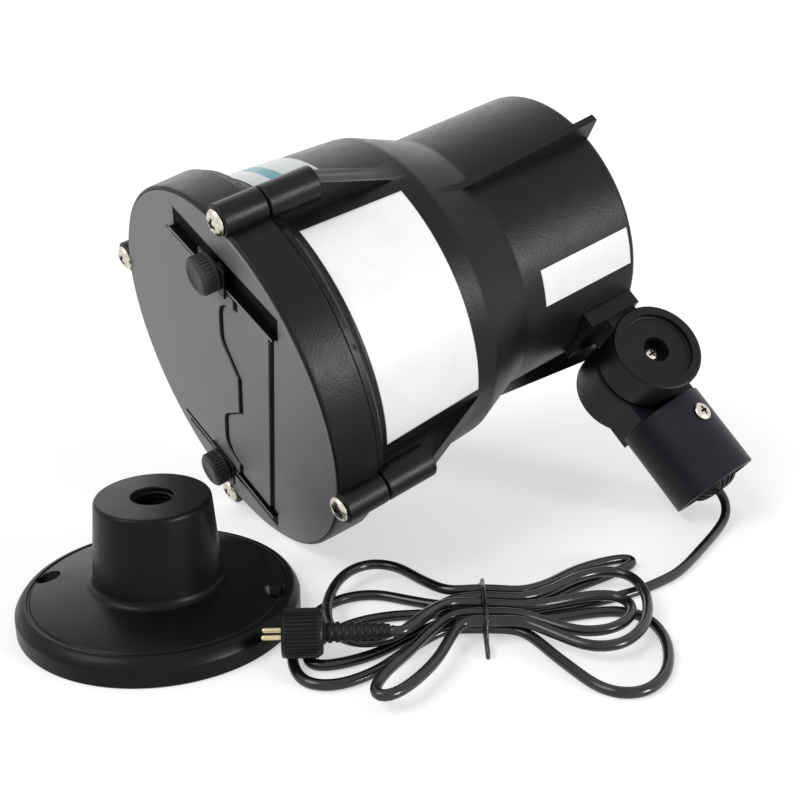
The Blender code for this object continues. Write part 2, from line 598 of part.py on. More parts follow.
def make_housing(looks, body):
    rear = HOUSING_LENGTH
    wall = HOUSING_WALL
    front_inner = BARREL_FRONT_RADIUS - wall
    outline = [(front_inner, HOUSING_FRONT), (FLANGE_RADIUS, HOUSING_FRONT),
               (FLANGE_RADIUS, HOUSING_FRONT + FLANGE_THICK), (FLANGE_RADIUS - 3.2, BARREL_START - 2.6),
               (BARREL_FRONT_RADIUS, BARREL_START), (BARREL_REAR_RADIUS, TAPER_START),
               (REAR_RADIUS, TAPER_END),
               (REAR_RADIUS, rear - REAR_ROUND), (REAR_RADIUS - REAR_ROUND * 0.3, rear - REAR_ROUND * 0.3),
               (REAR_RADIUS - REAR_ROUND, rear), (0.0, rear), (0.0, rear - wall),
               (REAR_RADIUS - wall, rear - wall), (REAR_RADIUS - wall, TAPER_END),
               (BARREL_REAR_RADIUS - wall, TAPER_START), (front_inner, BARREL_START)]
    shape = turned_shell(outline, STEPS_LARGE)
    housing = piece("housing", shape, looks["black_plastic"], body)
    for angle in BOSS_ANGLES:
        shaped(housing, "UNION", moved(boss_and_ramp(), Matrix.Rotation(math.radians(angle), 4, "Z")))
    for angle in FIN_ANGLES:
        shaped(housing, "UNION", moved(fin(), Matrix.Rotation(math.radians(angle), 4, "Z")))
    cuts = []
    for angle in BOSS_ANGLES:
        hole = rod(SCREW_SHANK_RADIUS + FIT, HOUSING_FRONT - 2.0, SCREW_LENGTH + 4.0, 12)
        cuts.append(moved(hole, Matrix.Translation(polar(BOSS_REACH, angle)) @ SKEWED))
    entry = moved(rod(LEAD_HOLE_RADIUS, REAR_RADIUS - 10.0, REAR_RADIUS + 10.0, 16),
                  Matrix.Translation((0, -KNUCKLE_HALF / 2, FOOT_START + 12.0)) @ ALONG_X)
    groove = tube(SEAL_RADIUS + SEAL_WIDTH / 2 + FIT, SEAL_RADIUS - SEAL_WIDTH / 2 - FIT, HOUSING_FRONT - 2.0,
                  HOUSING_FRONT + SEAL_WIDTH, STEPS_LARGE)
    shaped(housing, "DIFFERENCE", entry, groove, *cuts)


def turned_shell(outline, steps):
    """Spin an outline that touches the axis twice, for a cup with a thick floor."""
    shape = bmesh.new()
    corners = [shape.verts.new((radius, 0.0, z)) for radius, z in outline]
    edges = []
    for i in range(len(corners)):
        after = (i + 1) % len(corners)
        if outline[i][0] > 0.0 or outline[after][0] > 0.0:
            edges.append(shape.edges.new((corners[i], corners[after])))
    bmesh.ops.spin(shape, geom=corners + edges, cent=(0, 0, 0), axis=(0, 0, 1), angle=2 * math.pi,
                   steps=steps, use_merge=True, use_duplicate=False)
    bmesh.ops.remove_doubles(shape, verts=shape.verts, dist=1e-4)
    bmesh.ops.recalc_face_normals(shape, faces=shape.faces)
    return shape


def boss_and_ramp():
    """A corner boss of the housing at angle 0, with the ramp that runs from it down the barrel."""
    shape = rod(BOSS_RADIUS, HOUSING_FRONT, BOSS_LENGTH, STEPS_SMALL)
    moved(shape, Matrix.Translation((BOSS_REACH, 0, 0)))
    bmesh.ops.recalc_face_normals(shape, faces=shape.faces)
    foot = -barrel_radius(RAMP_END)
    ramp = prism([(BOSS_LENGTH - 6.0, -(BOSS_REACH + BOSS_RADIUS - 1.5)), (RAMP_END, foot + 0.5),
                  (RAMP_END, foot + 2.0), (HOUSING_FRONT + 2.0, -BARREL_FRONT_RADIUS + 2.0),
                  (HOUSING_FRONT + 2.0, -BOSS_REACH)], -RAMP_WIDTH / 2, RAMP_WIDTH / 2)
    moved(ramp, Matrix(((0, -1, 0, 0), (0, 0, 1, 0), (1, 0, 0, 0), (0, 0, 0, 1))))
    bmesh.ops.recalc_face_normals(ramp, faces=ramp.faces)
    return united(shape, ramp)


def united(first, second):
    """Join two overlapping solids into one with a Boolean, and give the mesh."""
    parts = []
    for shape in (first, second):
        data = bpy.data.meshes.new("union_part")
        shape.to_mesh(data)
        shape.free()
        made = bpy.data.objects.new("union_part", data)
        bpy.context.scene.collection.objects.link(made)
        parts.append(made)
    modifier = parts[0].modifiers.new("Union", "BOOLEAN")
    modifier.operation = "UNION"
    modifier.object = parts[1]
    bpy.context.view_layer.update()
    result = bmesh.new()
    result.from_object(parts[0], bpy.context.evaluated_depsgraph_get())
    for made in parts:
        data = made.data
        bpy.data.objects.remove(made)
        bpy.data.meshes.remove(data)
    return result


def fin():
    """A wedge-shaped cooling fin at angle 0, growing towards the rear."""
    tip = REAR_RADIUS + FIN_HEIGHT
    outline = [(FIN_START, -barrel_radius(FIN_START) + 1.0), (HOUSING_LENGTH - 0.5, -tip),
               (HOUSING_LENGTH, -tip + 0.5), (HOUSING_LENGTH, -REAR_RADIUS + REAR_ROUND + 1.0),
               (HOUSING_LENGTH - REAR_ROUND - 3.0, -REAR_RADIUS + 1.0), (TAPER_END, -REAR_RADIUS + 1.0)]
    shape = prism(outline, -FIN_THICK / 2, FIN_THICK / 2)
    moved(shape, Matrix(((0, -1, 0, 0), (0, 0, 1, 0), (1, 0, 0, 0), (0, 0, 0, 1))))
    bmesh.ops.recalc_face_normals(shape, faces=shape.faces)
    return shape


def make_seal(looks, body):
    ring = tube(SEAL_RADIUS + SEAL_WIDTH / 2, SEAL_RADIUS - SEAL_WIDTH / 2, CAP_DEPTH + FIT,
                HOUSING_FRONT + SEAL_WIDTH - FIT, STEPS_LARGE)
    piece("cap_seal", ring, looks["rubber"], body)


def curved_sheet(start, end, low, high, steps):
    """A thin label that follows the housing between two angles and two places along the axis."""
    shape = bmesh.new()
    rows = []
    for lift in (FIT, FIT + LABEL_THICK):
        rows.append([[shape.verts.new(polar(barrel_radius(z) + lift, start + (end - start) * i / steps, z))
                      for i in range(steps + 1)] for z in (low, high)])
    inner, outer = rows
    for i in range(steps):
        for skin in (inner, outer):
            shape.faces.new((skin[0][i], skin[0][i + 1], skin[1][i + 1], skin[1][i]))
        for row in (0, 1):
            shape.faces.new((inner[row][i], inner[row][i + 1], outer[row][i + 1], outer[row][i]))
    for i in (0, steps):
        shape.faces.new((inner[0][i], inner[1][i], outer[1][i], outer[0][i]))
    bmesh.ops.recalc_face_normals(shape, faces=shape.faces)
    return shape


def make_labels(looks, body):
    piece("side_label", curved_sheet(*SIDE_LABEL, 14), looks["white_label"], body)
    piece("rear_label", curved_sheet(*REAR_LABEL, 4), looks["white_label"], body)
    piece("top_sticker", curved_sheet(*TOP_STICKER, 7), looks["silver_label"], body)


def make_pivot_bracket(looks, body):
    """The near knuckle half, its neck and the saddle foot on the housing."""
    centre = Matrix.Translation((KNUCKLE_REACH, 0, KNUCKLE_PLACE)) @ TOWARDS_NEAR
    gap = FIT / 2 + FRICTION_THICK / 2
    half = rod(KNUCKLE_RADIUS, gap, KNUCKLE_HALF, 36, edge=1.0)
    bracket = piece("pivot_bracket", moved(half, centre), looks["black_plastic"], body)
    inner = REAR_RADIUS + FIT
    neck = block(inner - 4.0, KNUCKLE_REACH - 6.0, -KNUCKLE_HALF + 1.0, -gap,
                 KNUCKLE_PLACE - NECK_HALF_LENGTH,
                 min(KNUCKLE_PLACE + NECK_HALF_LENGTH, FOOT_END - 1.2))
    foot = block(inner - 8.0, inner + FOOT_THICK, -FOOT_NEAR, FOOT_FAR, FOOT_START, FOOT_END)
    shaped(bracket, "UNION", neck, foot)
    barrel = rod(inner, FOOT_START - 5.0, FOOT_END + 20.0, STEPS_LARGE)
    recess = moved(rod(FACE_RECESS_RADIUS, KNUCKLE_HALF - FACE_RECESS_DEPTH, KNUCKLE_HALF + 5.0, 32), centre)
    well = moved(rod(SCREW_WELL_RADIUS, KNUCKLE_HALF - SCREW_WELL_DEPTH, KNUCKLE_HALF, 20), centre)
    bore = moved(rod(PIVOT_SHANK_RADIUS + FIT, -5.0, KNUCKLE_HALF, 16), centre)
    shaped(bracket, "DIFFERENCE", barrel, recess, well, bore)


def make_knuckle_screw(looks, root):
    centre = Matrix.Translation((KNUCKLE_REACH, 0, KNUCKLE_PLACE)) @ TOWARDS_NEAR
    seat = KNUCKLE_HALF - SCREW_WELL_DEPTH
    length = seat + ARM_DEPTH - 2.0
    shape = screw(PIVOT_HEAD_RADIUS, PIVOT_HEAD_HEIGHT, PIVOT_SHANK_RADIUS, length)
    turn_in = Matrix.Rotation(math.radians(180), 4, "X")
    at_seat = centre @ Matrix.Translation((0, 0, seat + FIT)) @ turn_in
    pivot = piece("pivot_screw", moved(shape, at_seat), looks["bright_steel"], root)
    shaped(pivot, "DIFFERENCE", moved(cross_slot(PIVOT_HEAD_RADIUS, PIVOT_HEAD_HEIGHT, 0.9), at_seat))
    disc = tube(FRICTION_RADIUS, PIVOT_SHANK_RADIUS + FIT, -FRICTION_THICK / 2 + FIT / 2,
                FRICTION_THICK / 2 - FIT / 2, 24)
    piece("friction_disc", moved(disc, centre), looks["rubber"], root)
    nut = prism(arc(0, 0, 5.0, 0, 300, 5), -ARM_DEPTH + 1.0, -ARM_DEPTH + 5.0)
    knuckle_nut = piece("pivot_nut", moved(nut, centre), looks["bright_steel"], root)
    bore = rod(PIVOT_SHANK_RADIUS + FIT, -ARM_DEPTH, -ARM_DEPTH + 8.0, 16)
    shaped(knuckle_nut, "DIFFERENCE", moved(bore, centre))


def make_socket_arm(looks, root):
    """The far knuckle half and the socket for a one-inch pipe, in one moulding."""
    centre = Matrix.Translation((KNUCKLE_REACH, 0, KNUCKLE_PLACE)) @ TOWARDS_NEAR
    gap = FIT / 2 + FRICTION_THICK / 2
    half = rod(KNUCKLE_RADIUS + 0.3, -ARM_DEPTH, -gap, 36, edge=1.0)
    arm = piece("socket_arm", moved(half, centre), looks["blue_black"], root)
    neck = block(KNUCKLE_REACH, KNUCKLE_REACH + SOCKET_START + 3.0, gap, ARM_DEPTH - 1.5,
                 KNUCKLE_PLACE - SOCKET_RADIUS + 3.1, KNUCKLE_PLACE + SOCKET_RADIUS - 3.1)
    barrel = moved(rod(SOCKET_RADIUS, SOCKET_START, SOCKET_LENGTH, 36, edge=SOCKET_EDGE),
                   Matrix.Translation(socket_axis(0)) @ ALONG_X)
    shaped(arm, "UNION", neck, barrel)
    bore = moved(rod(SOCKET_BORE, SOCKET_FLOOR, SOCKET_LENGTH + 5.0, 32),
                 Matrix.Translation(socket_axis(0)) @ ALONG_X)
    passage = moved(rod(4.0, 4.0, SOCKET_FLOOR + 2.0, 16),
                    Matrix.Translation(socket_axis(0) + Vector((0, 4.0, 0))) @ ALONG_X)
    shank = moved(rod(PIVOT_SHANK_RADIUS + FIT, -ARM_DEPTH - 2.0, 2.0, 16), centre)
    pocket = moved(prism(arc(0, 0, 5.0 + FIT, 0, 300, 5), -ARM_DEPTH - 2.0, -ARM_DEPTH + 5.0 + FIT), centre)
    shaped(arm, "DIFFERENCE", bore, passage, shank, pocket, moved(set_screw_bore(), set_screw_place()))


def set_screw_place():
    """Where the set screw sits on the socket: its head outwards, its shank towards the pipe."""
    return (Matrix.Translation(socket_axis(SET_SCREW_PLACE)) @ ALONG_X
            @ Matrix.Rotation(math.radians(SET_SCREW_ANGLE), 4, "Z")
            @ Matrix.Rotation(math.radians(90), 4, "Y"))


def set_screw_bore():
    return rod(SET_SCREW_RADIUS * 0.5 + FIT, SOCKET_BORE - 2.0, SOCKET_RADIUS + 3.0, 12)


def make_set_screw(looks, root):
    seat = SOCKET_RADIUS + FIT
    shape = screw(SET_SCREW_RADIUS, SET_SCREW_HEIGHT, SET_SCREW_RADIUS * 0.5, seat - SOCKET_BORE + 0.2)
    turn_in = Matrix.Rotation(math.radians(180), 4, "X")
    at_seat = set_screw_place() @ Matrix.Translation((0, 0, seat)) @ turn_in
    made = piece("set_screw", moved(shape, at_seat), looks["bright_steel"], root)
    shaped(made, "DIFFERENCE", moved(cross_slot(SET_SCREW_RADIUS, SET_SCREW_HEIGHT, 0.8), at_seat))


def make_gland(looks, root, nut_body):
    along = Matrix.Translation(socket_axis(0)) @ ALONG_X
    mouth = SOCKET_LENGTH - LINER_INSET
    liner = tube(SOCKET_BORE - FIT, SOCKET_BORE - FIT - LINER_THICK, mouth - LINER_LENGTH, mouth, 32)
    piece("socket_liner", moved(liner, along), looks["liner_grey"], root)
    liner_inner = SOCKET_BORE - FIT - LINER_THICK
    nut_high = SOCKET_LENGTH + GLAND_NUT_PROUD
    nut_low = nut_high - GLAND_NUT_LENGTH
    body_high = nut_low - FIT
    hole = CORD_RADIUS + FIT
    body = turned([(hole, body_high - GLAND_LENGTH), (GLAND_RADIUS, body_high - GLAND_LENGTH),
                   (GLAND_RADIUS, body_high - 7.0), (liner_inner - FIT, body_high - 7.0),
                   (liner_inner - FIT, body_high - 2.0), (GLAND_RADIUS, body_high - 2.0),
                   (GLAND_RADIUS, body_high), (hole, body_high)], 28)
    piece("gland_body", moved(body, along), looks["black_plastic"], root)
    nut = tube(GLAND_NUT_RADIUS, hole, nut_low, nut_high, edge=1.0, scallops=GLAND_NUT_RIBS,
               scallop_depth=0.6, scallop_from=GLAND_NUT_RADIUS - 0.3)
    place = socket_axis(nut_high)
    frame = frame_empty("gland_nut_frame", nut_body, place)
    piece("gland_nut", moved(nut, along), looks["black_plastic"], frame, at=place)


def make_drive(looks, body, wheel_body):
    """Laser, heat sink, gear motor and grating wheel on the chassis plate."""
    chassis_radius = barrel_radius(CHASSIS_PLACE + CHASSIS_THICK) - HOUSING_WALL - FIT
    plate = rod(chassis_radius, CHASSIS_PLACE, CHASSIS_PLACE + CHASSIS_THICK, STEPS_LARGE)
    chassis = piece("chassis_plate", plate, looks["zinc_steel"], body)
    passage = rod(LASER_RADIUS + FIT, CHASSIS_PLACE - 2.0, CHASSIS_PLACE + 6.0, 24)
    shaped(chassis, "DIFFERENCE", passage)
    laser = rod(LASER_RADIUS, LASER_FRONT, LASER_FRONT + LASER_LENGTH, 24, edge=0.6)
    piece("laser_module", laser, looks["brass"], body)
    ring = tube(FOCUS_RADIUS, 2.5, LASER_FRONT - FIT - FOCUS_LENGTH, LASER_FRONT - FIT, scallops=12,
                scallop_depth=0.4, scallop_from=FOCUS_RADIUS - 0.2)
    piece("focus_ring", ring, looks["brass"], body)
    high = CHASSIS_PLACE - FIT
    sink = tube(HEAT_SINK_RADIUS, LASER_RADIUS + FIT, high - HEAT_SINK_LENGTH, high,
                scallops=HEAT_SINK_FINS, scallop_depth=0.44 * (HEAT_SINK_RADIUS - LASER_RADIUS),
                scallop_from=HEAT_SINK_RADIUS - 0.5)
    piece("heat_sink", sink, looks["aluminium"], body)
    axis = polar(MOTOR_OFFSET, -135.0)
    motor = rod(MOTOR_RADIUS, high - MOTOR_LENGTH, high, 24, edge=0.8)
    piece("gear_motor", moved(motor, Matrix.Translation(axis)), looks["zinc_steel"], body)
    frame = frame_empty("grating_wheel_frame", wheel_body, axis)
    hub_end = WHEEL_PLACE + WHEEL_HUB_LENGTH
    bore = SHAFT_RADIUS + FIT
    back = WHEEL_PLACE + WHEEL_THICK
    wheel = turned([(bore, WHEEL_PLACE), (WHEEL_RADIUS, WHEEL_PLACE), (WHEEL_RADIUS, back),
                    (WHEEL_HUB_RADIUS, back), (WHEEL_HUB_RADIUS, hub_end), (bore, hub_end)], 40)
    place = Matrix.Translation(axis)
    piece("grating_wheel", moved(wheel, place), looks["grating"], frame, at=axis)
    shaft = rod(SHAFT_RADIUS, WHEEL_PLACE - 1.0, high - MOTOR_LENGTH - FIT, 12)
    piece("wheel_shaft", moved(shaft, place), looks["bright_steel"], frame, at=axis)


def make_electronics(looks, body):
    low = CHASSIS_PLACE + CHASSIS_THICK + FIT
    for index in range(4):
        post = rod(POST_RADIUS, low, BOARD_PLACE - FIT, 12)
        place = Matrix.Translation(polar(POST_CIRCLE, 45 + 90 * index))
        piece("board_post_%d" % (index + 1), moved(post, place), looks["brass"], body)
    outline = arc(0, 0, BOARD_RADIUS, 0, 315, 7)
    piece("circuit_board", prism(outline, BOARD_PLACE, BOARD_PLACE + BOARD_THICK), looks["board_green"], body)
    top = BOARD_PLACE + BOARD_THICK + FIT
    capacitor = rod(6.0, top, top + 14.0, 16, edge=0.6)
    piece("board_capacitor", moved(capacitor, Matrix.Translation((-20, 18, 0))), looks["aluminium"], body)
    socket = block(LEAD_SOCKET_X - 4.0, LEAD_SOCKET_X + 4.0, -6, 6, top, top + LEAD_SOCKET_HEIGHT)
    piece("lead_socket", socket, looks["white_label"], body)
    entry = Matrix.Translation((0, -KNUCKLE_HALF / 2, FOOT_START + 12.0)) @ ALONG_X
    wall = REAR_RADIUS - HOUSING_WALL
    grommet = turned([(INNER_LEAD_RADIUS + FIT, wall - 5.0), (LEAD_HOLE_RADIUS + 2.0, wall - 5.0),
                      (LEAD_HOLE_RADIUS + 2.0, wall - 3.0), (LEAD_HOLE_RADIUS - FIT, wall - 3.0),
                      (LEAD_HOLE_RADIUS - FIT, REAR_RADIUS - 1.8),
                      (INNER_LEAD_RADIUS + FIT, REAR_RADIUS - 1.8)])
    piece("cable_grommet", moved(grommet, entry), looks["rubber"], body)
    start = entry @ Vector((0, 0, REAR_RADIUS - 2.0))
    socket_top = top + LEAD_SOCKET_HEIGHT + FIT
    drop = start.z - socket_top - 5.0
    points = [start, entry @ Vector((0, 0, wall)), entry @ Vector((0, 0, wall - 5.5)),
              entry @ Vector((0, 0, wall - 9.0)), Vector((LEAD_SOCKET_X + 10.0, -6, start.z - 0.3 * drop)),
              Vector((LEAD_SOCKET_X + 2.0, 0, start.z - 0.7 * drop)),
              Vector((LEAD_SOCKET_X, 0, socket_top + 5.0)), Vector((LEAD_SOCKET_X, 0, socket_top))]
    route = smooth_route(points, 5.0)
    cord_piece("inner_lead", route, INNER_LEAD_RADIUS, 2, looks["cord_black"], body, local=True)


def make_wall_flange(looks, frame):
    profile = [(0.0, 0.0), (FLANGE_BASE_RADIUS - 0.6, 0.0), (FLANGE_BASE_RADIUS, 0.6),
               (FLANGE_BASE_RADIUS, FLANGE_EDGE_HEIGHT), (FLANGE_BASE_RADIUS - 1.2, FLANGE_EDGE_HEIGHT + 2.4),
               (FLANGE_BASE_RADIUS - 3.6, FLANGE_SHOULDER_HEIGHT), (HUB_FOOT_RADIUS + 2.5, FLANGE_TOP_HEIGHT),
               (HUB_FOOT_RADIUS + 0.7, FLANGE_TOP_HEIGHT + 0.9), (HUB_FOOT_RADIUS, FLANGE_TOP_HEIGHT + 3.0),
               (HUB_TOP_RADIUS, HUB_HEIGHT - 1.5), (HUB_TOP_RADIUS - 1.5, HUB_HEIGHT), (0.0, HUB_HEIGHT)]
    flange = piece("wall_flange", turned(profile, 44), looks["black_plastic"], frame)
    cuts = [rod(HUB_HOLE_RADIUS, HUB_HEIGHT - HUB_HOLE_DEPTH, HUB_HEIGHT + 5.0, 32)]
    for turn in (0, 180):
        place = Matrix.Translation(polar(FLANGE_HOLE_CIRCLE, FLANGE_HOLE_AZIMUTH + turn))
        cuts.append(moved(rod(FLANGE_HOLE_RADIUS, -5.0, FLANGE_TOP_HEIGHT + 5.0, 16), place))
        sink = turned([(0.0, FLANGE_SHOULDER_HEIGHT - FLANGE_SINK_DEPTH),
                       (FLANGE_HOLE_RADIUS + 0.8, FLANGE_SHOULDER_HEIGHT - FLANGE_SINK_DEPTH),
                       (FLANGE_SINK_RADIUS, FLANGE_SHOULDER_HEIGHT + 0.6),
                       (FLANGE_SINK_RADIUS, FLANGE_TOP_HEIGHT + 5.0), (0.0, FLANGE_TOP_HEIGHT + 5.0)], 20)
        cuts.append(moved(sink, place))
    shaped(flange, "DIFFERENCE", *cuts)


def smooth_route(points, spacing):
    """Points at an even spacing on a smooth curve through the route's own points."""
    dense = []
    count = len(points)
    for i in range(count - 1):
        before = points[i - 1] if i > 0 else points[i] * 2 - points[i + 1]
        after = points[i + 2] if i + 2 < count else points[i + 1] * 2 - points[i]
        for j in range(16):
            t = j / 16
            dense.append(0.5 * (2 * points[i] + (points[i + 1] - before) * t
                                + (2 * before - 5 * points[i] + 4 * points[i + 1] - after) * t * t
                                + (3 * points[i] - before - 3 * points[i + 1] + after) * t ** 3))
    dense.append(points[-1])
    total = sum((b - a).length for a, b in zip(dense, dense[1:]))
    pieces = max(2, round(total / spacing))
    step, spaced, walked, index = total / pieces, [dense[0]], 0.0, 0
    for k in range(1, pieces):
        while walked + (dense[index + 1] - dense[index]).length < k * step:
            walked += (dense[index + 1] - dense[index]).length
            index += 1
        part = (k * step - walked) / (dense[index + 1] - dense[index]).length
        spaced.append(dense[index].lerp(dense[index + 1], part))
    return spaced + [dense[-1]]


def cord_piece(name, points, radius, resolution, look, parent, local=False, loop=False):
    """A round cord along points, as a curve with filled ends or as a closed loop."""
    curve = bpy.data.curves.new(name, "CURVE")
    curve.dimensions = "3D"
    curve.bevel_depth = radius * MM
    curve.bevel_resolution = resolution
    curve.use_fill_caps = not loop
    spline = curve.splines.new("POLY")
    spline.points.add(len(points) - 1)
    spline.use_cyclic_u = loop
    shift = parent_origin(parent) if local else Vector((0, 0, 0))
    for point, place in zip(spline.points, points):
        point.co = (*((place - shift) * MM), 1.0)
    curve.materials.append(look)
    made = bpy.data.objects.new(name, curve)
    bpy.context.scene.collection.objects.link(made)
    made.parent = parent
    return made


def ease(value):
    value = min(max(value, 0.0), 1.0)
    return value * value * (3 - 2 * value)


# The waist lies on the tie's wire, and the plug on the loops that run under it
WAIST_LIFT = 2 * TIE_WIRE_RADIUS + FIT
PLUG_HEIGHT = 2 * CORD_RADIUS + FIT + COLLAR_RADIUS
RELIEF_START = PIN_LENGTH + COLLAR_LENGTH
RELIEF_END = RELIEF_START + RELIEF_LENGTH


def slot_place(index, x):
    """Where a run passes the tie: nine slots from the far side to the near side, in two rows."""
    height = CORD_RADIUS + WAIST_LIFT + (0.0 if index % 2 else ROW_PITCH)
    return Vector((x, HANK_CENTRE[1] + (4 - index) * SLOT_PITCH, height))


def lobe_points(lobe):
    """The points of one half loop, from the tie out to its tip and back."""
    points = []
    rows = [slot_place(slot, 0.0) for slot in lobe["slots"]]
    climbs = lobe["slots"][0] % 2 != lobe["slots"][1] % 2
    for i in range(LOBE_POINTS + 1):
        part = i / LOBE_POINTS
        turn = math.pi * (part - 0.4 * math.sin(2 * math.pi * part) / (2 * math.pi))
        out = math.sin(turn)
        row = rows[0] if part < 0.5 else rows[1]
        free = ease(2.0 * out)
        level = ease(2.0 * part - 1.0) if climbs else lobe["level"]
        sideways = lobe["spread"] * math.sin(2 * turn) + lobe["lean"] * out + lobe["bend"] * out * out
        along = WAIST_HALF + lobe["reach"] * out + lobe["skew"] * math.sin(2 * turn)
        points.append(Vector((HANK_CENTRE[0] + lobe["side"] * along,
                              HANK_CENTRE[1] + (row.y - HANK_CENTRE[1]) * (1 - free) + sideways * free,
                              row.z * (1 - free) + (CORD_RADIUS + level * ROW_PITCH) * free)))
    return points


def plug_axis(along):
    """A point on the plug's axis, counted from the tips of its pins."""
    turn = math.radians(PLUG_AZIMUTH)
    return Vector((PLUG_TIP[0] + along * math.cos(turn), PLUG_TIP[1] + along * math.sin(turn), PLUG_HEIGHT))


def join_point(along):
    """A point on the straight stretch where the lead meets the hank, counted towards the socket."""
    turn = math.radians(JOIN_AZIMUTH)
    x, y = JOIN_PLACE
    return Vector((x + along * math.cos(turn), y + along * math.sin(turn), CORD_RADIUS))


def hank_points():
    """The whole hank: in from the lead, eight half loops, and out to the plug's strain relief."""
    entry = slot_place(3, HANK_CENTRE[0] + WAIST_HALF)
    points = [join_point(0), join_point(-2.2 * CORD_RADIUS), entry + Vector((6.0, -0.2, -1.2))]
    for lobe in LOBES:
        points += lobe_points(lobe)
    leave = slot_place(4, HANK_CENTRE[0] - WAIST_HALF)
    rise = PLUG_HEIGHT - leave.z
    back = plug_axis(RELIEF_END + FIT + 2.2 * CORD_RADIUS)
    points += [leave + Vector((-8.0, -1.6, 0.4 * rise)), leave + Vector((-16.5, -12.0, 0.88 * rise))]
    return points + [back, plug_axis(RELIEF_END + FIT)]


def least_gap(points, radius):
    """The least clear distance between stretches of one cord that aren't neighbours along it."""
    fine = [a.lerp(b, step / 6) for a, b in zip(points, points[1:]) for step in range(6)]
    along = [0.0]
    for a, b in zip(fine, fine[1:]):
        along.append(along[-1] + (b - a).length)
    least = min((fine[i] - fine[j]).length for i in range(len(fine)) for j in range(i)
                if along[i] - along[j] > 5 * radius)
    return least - 2 * radius


def make_cord(looks, pose):
    exit_at = SOCKET_LENGTH + GLAND_NUT_PROUD
    inside = pose @ socket_axis(exit_at - GLAND_NUT_LENGTH + FIT)
    mouth = pose @ socket_axis(exit_at)
    out = (mouth - inside).normalized()
    hank = hank_points()
    ground = Vector((mouth.x, mouth.y, 0.0))
    lead = [inside, mouth, mouth + out * 2 * CORD_RADIUS, ground + Vector((1.4, -9.2, 5.4)),
            ground + Vector((-4.4, -18.6, 2.8)),
            Vector((225.5, 50.0, CORD_RADIUS + 0.1)), Vector((211.0, 29.0, CORD_RADIUS)),
            Vector((198.0, 17.5, CORD_RADIUS)), Vector((186.0, 9.8, CORD_RADIUS)), join_point(FIT + 13.0),
            join_point(FIT + 2.2 * CORD_RADIUS),
            join_point(FIT)]
    cord_piece("cord_lead", smooth_route(lead, 9.0), CORD_RADIUS, 2, looks["cord_black"], None)
    cord_piece("cord_hank", hank, CORD_RADIUS, 1, looks["cord_black"], None)
    gap = least_gap(hank, CORD_RADIUS)
    print("hank: %d points, %d half loops, least gap to itself %.2f mm" % (len(hank), len(LOBES), gap))


def make_tie(looks):
    """A wire tie round the hank's waist, pinched into a tail on either side."""
    half = 4 * SLOT_PITCH + CORD_RADIUS + FIT + TIE_WIRE_RADIUS
    low = TIE_WIRE_RADIUS
    high = 2 * CORD_RADIUS + WAIST_LIFT + ROW_PITCH + FIT + TIE_WIRE_RADIUS
    x, middle = HANK_CENTRE
    pinched = low + 2 * TIE_WIRE_RADIUS + FIT
    over = [Vector((x, middle + half + TIE_TAIL_FAR, pinched)), Vector((x, middle + half + 2.0, pinched)),
            Vector((x, middle + half, pinched + 2.0)), Vector((x, middle + half, high - 1.6)),
            Vector((x, middle + half - 1.6, high))]
    across = [Vector((x, middle + 0.4 * part * half, high)) for part in (1, -1)]
    down = [Vector((x, 2 * middle - point.y, point.z)) for point in reversed(over)]
    down[-1].y = middle - half - TIE_TAIL_NEAR
    under = [Vector((x, middle - half - TIE_TAIL_NEAR, low)), Vector((x, middle - half, low)),
             Vector((x, middle, low)), Vector((x, middle + half, low)),
             Vector((x, middle + half + TIE_TAIL_FAR, low))]
    ring = over + across + down + under
    cord_piece("cord_tie", ring, TIE_WIRE_RADIUS, 1, looks["cord_black"], None, loop=True)


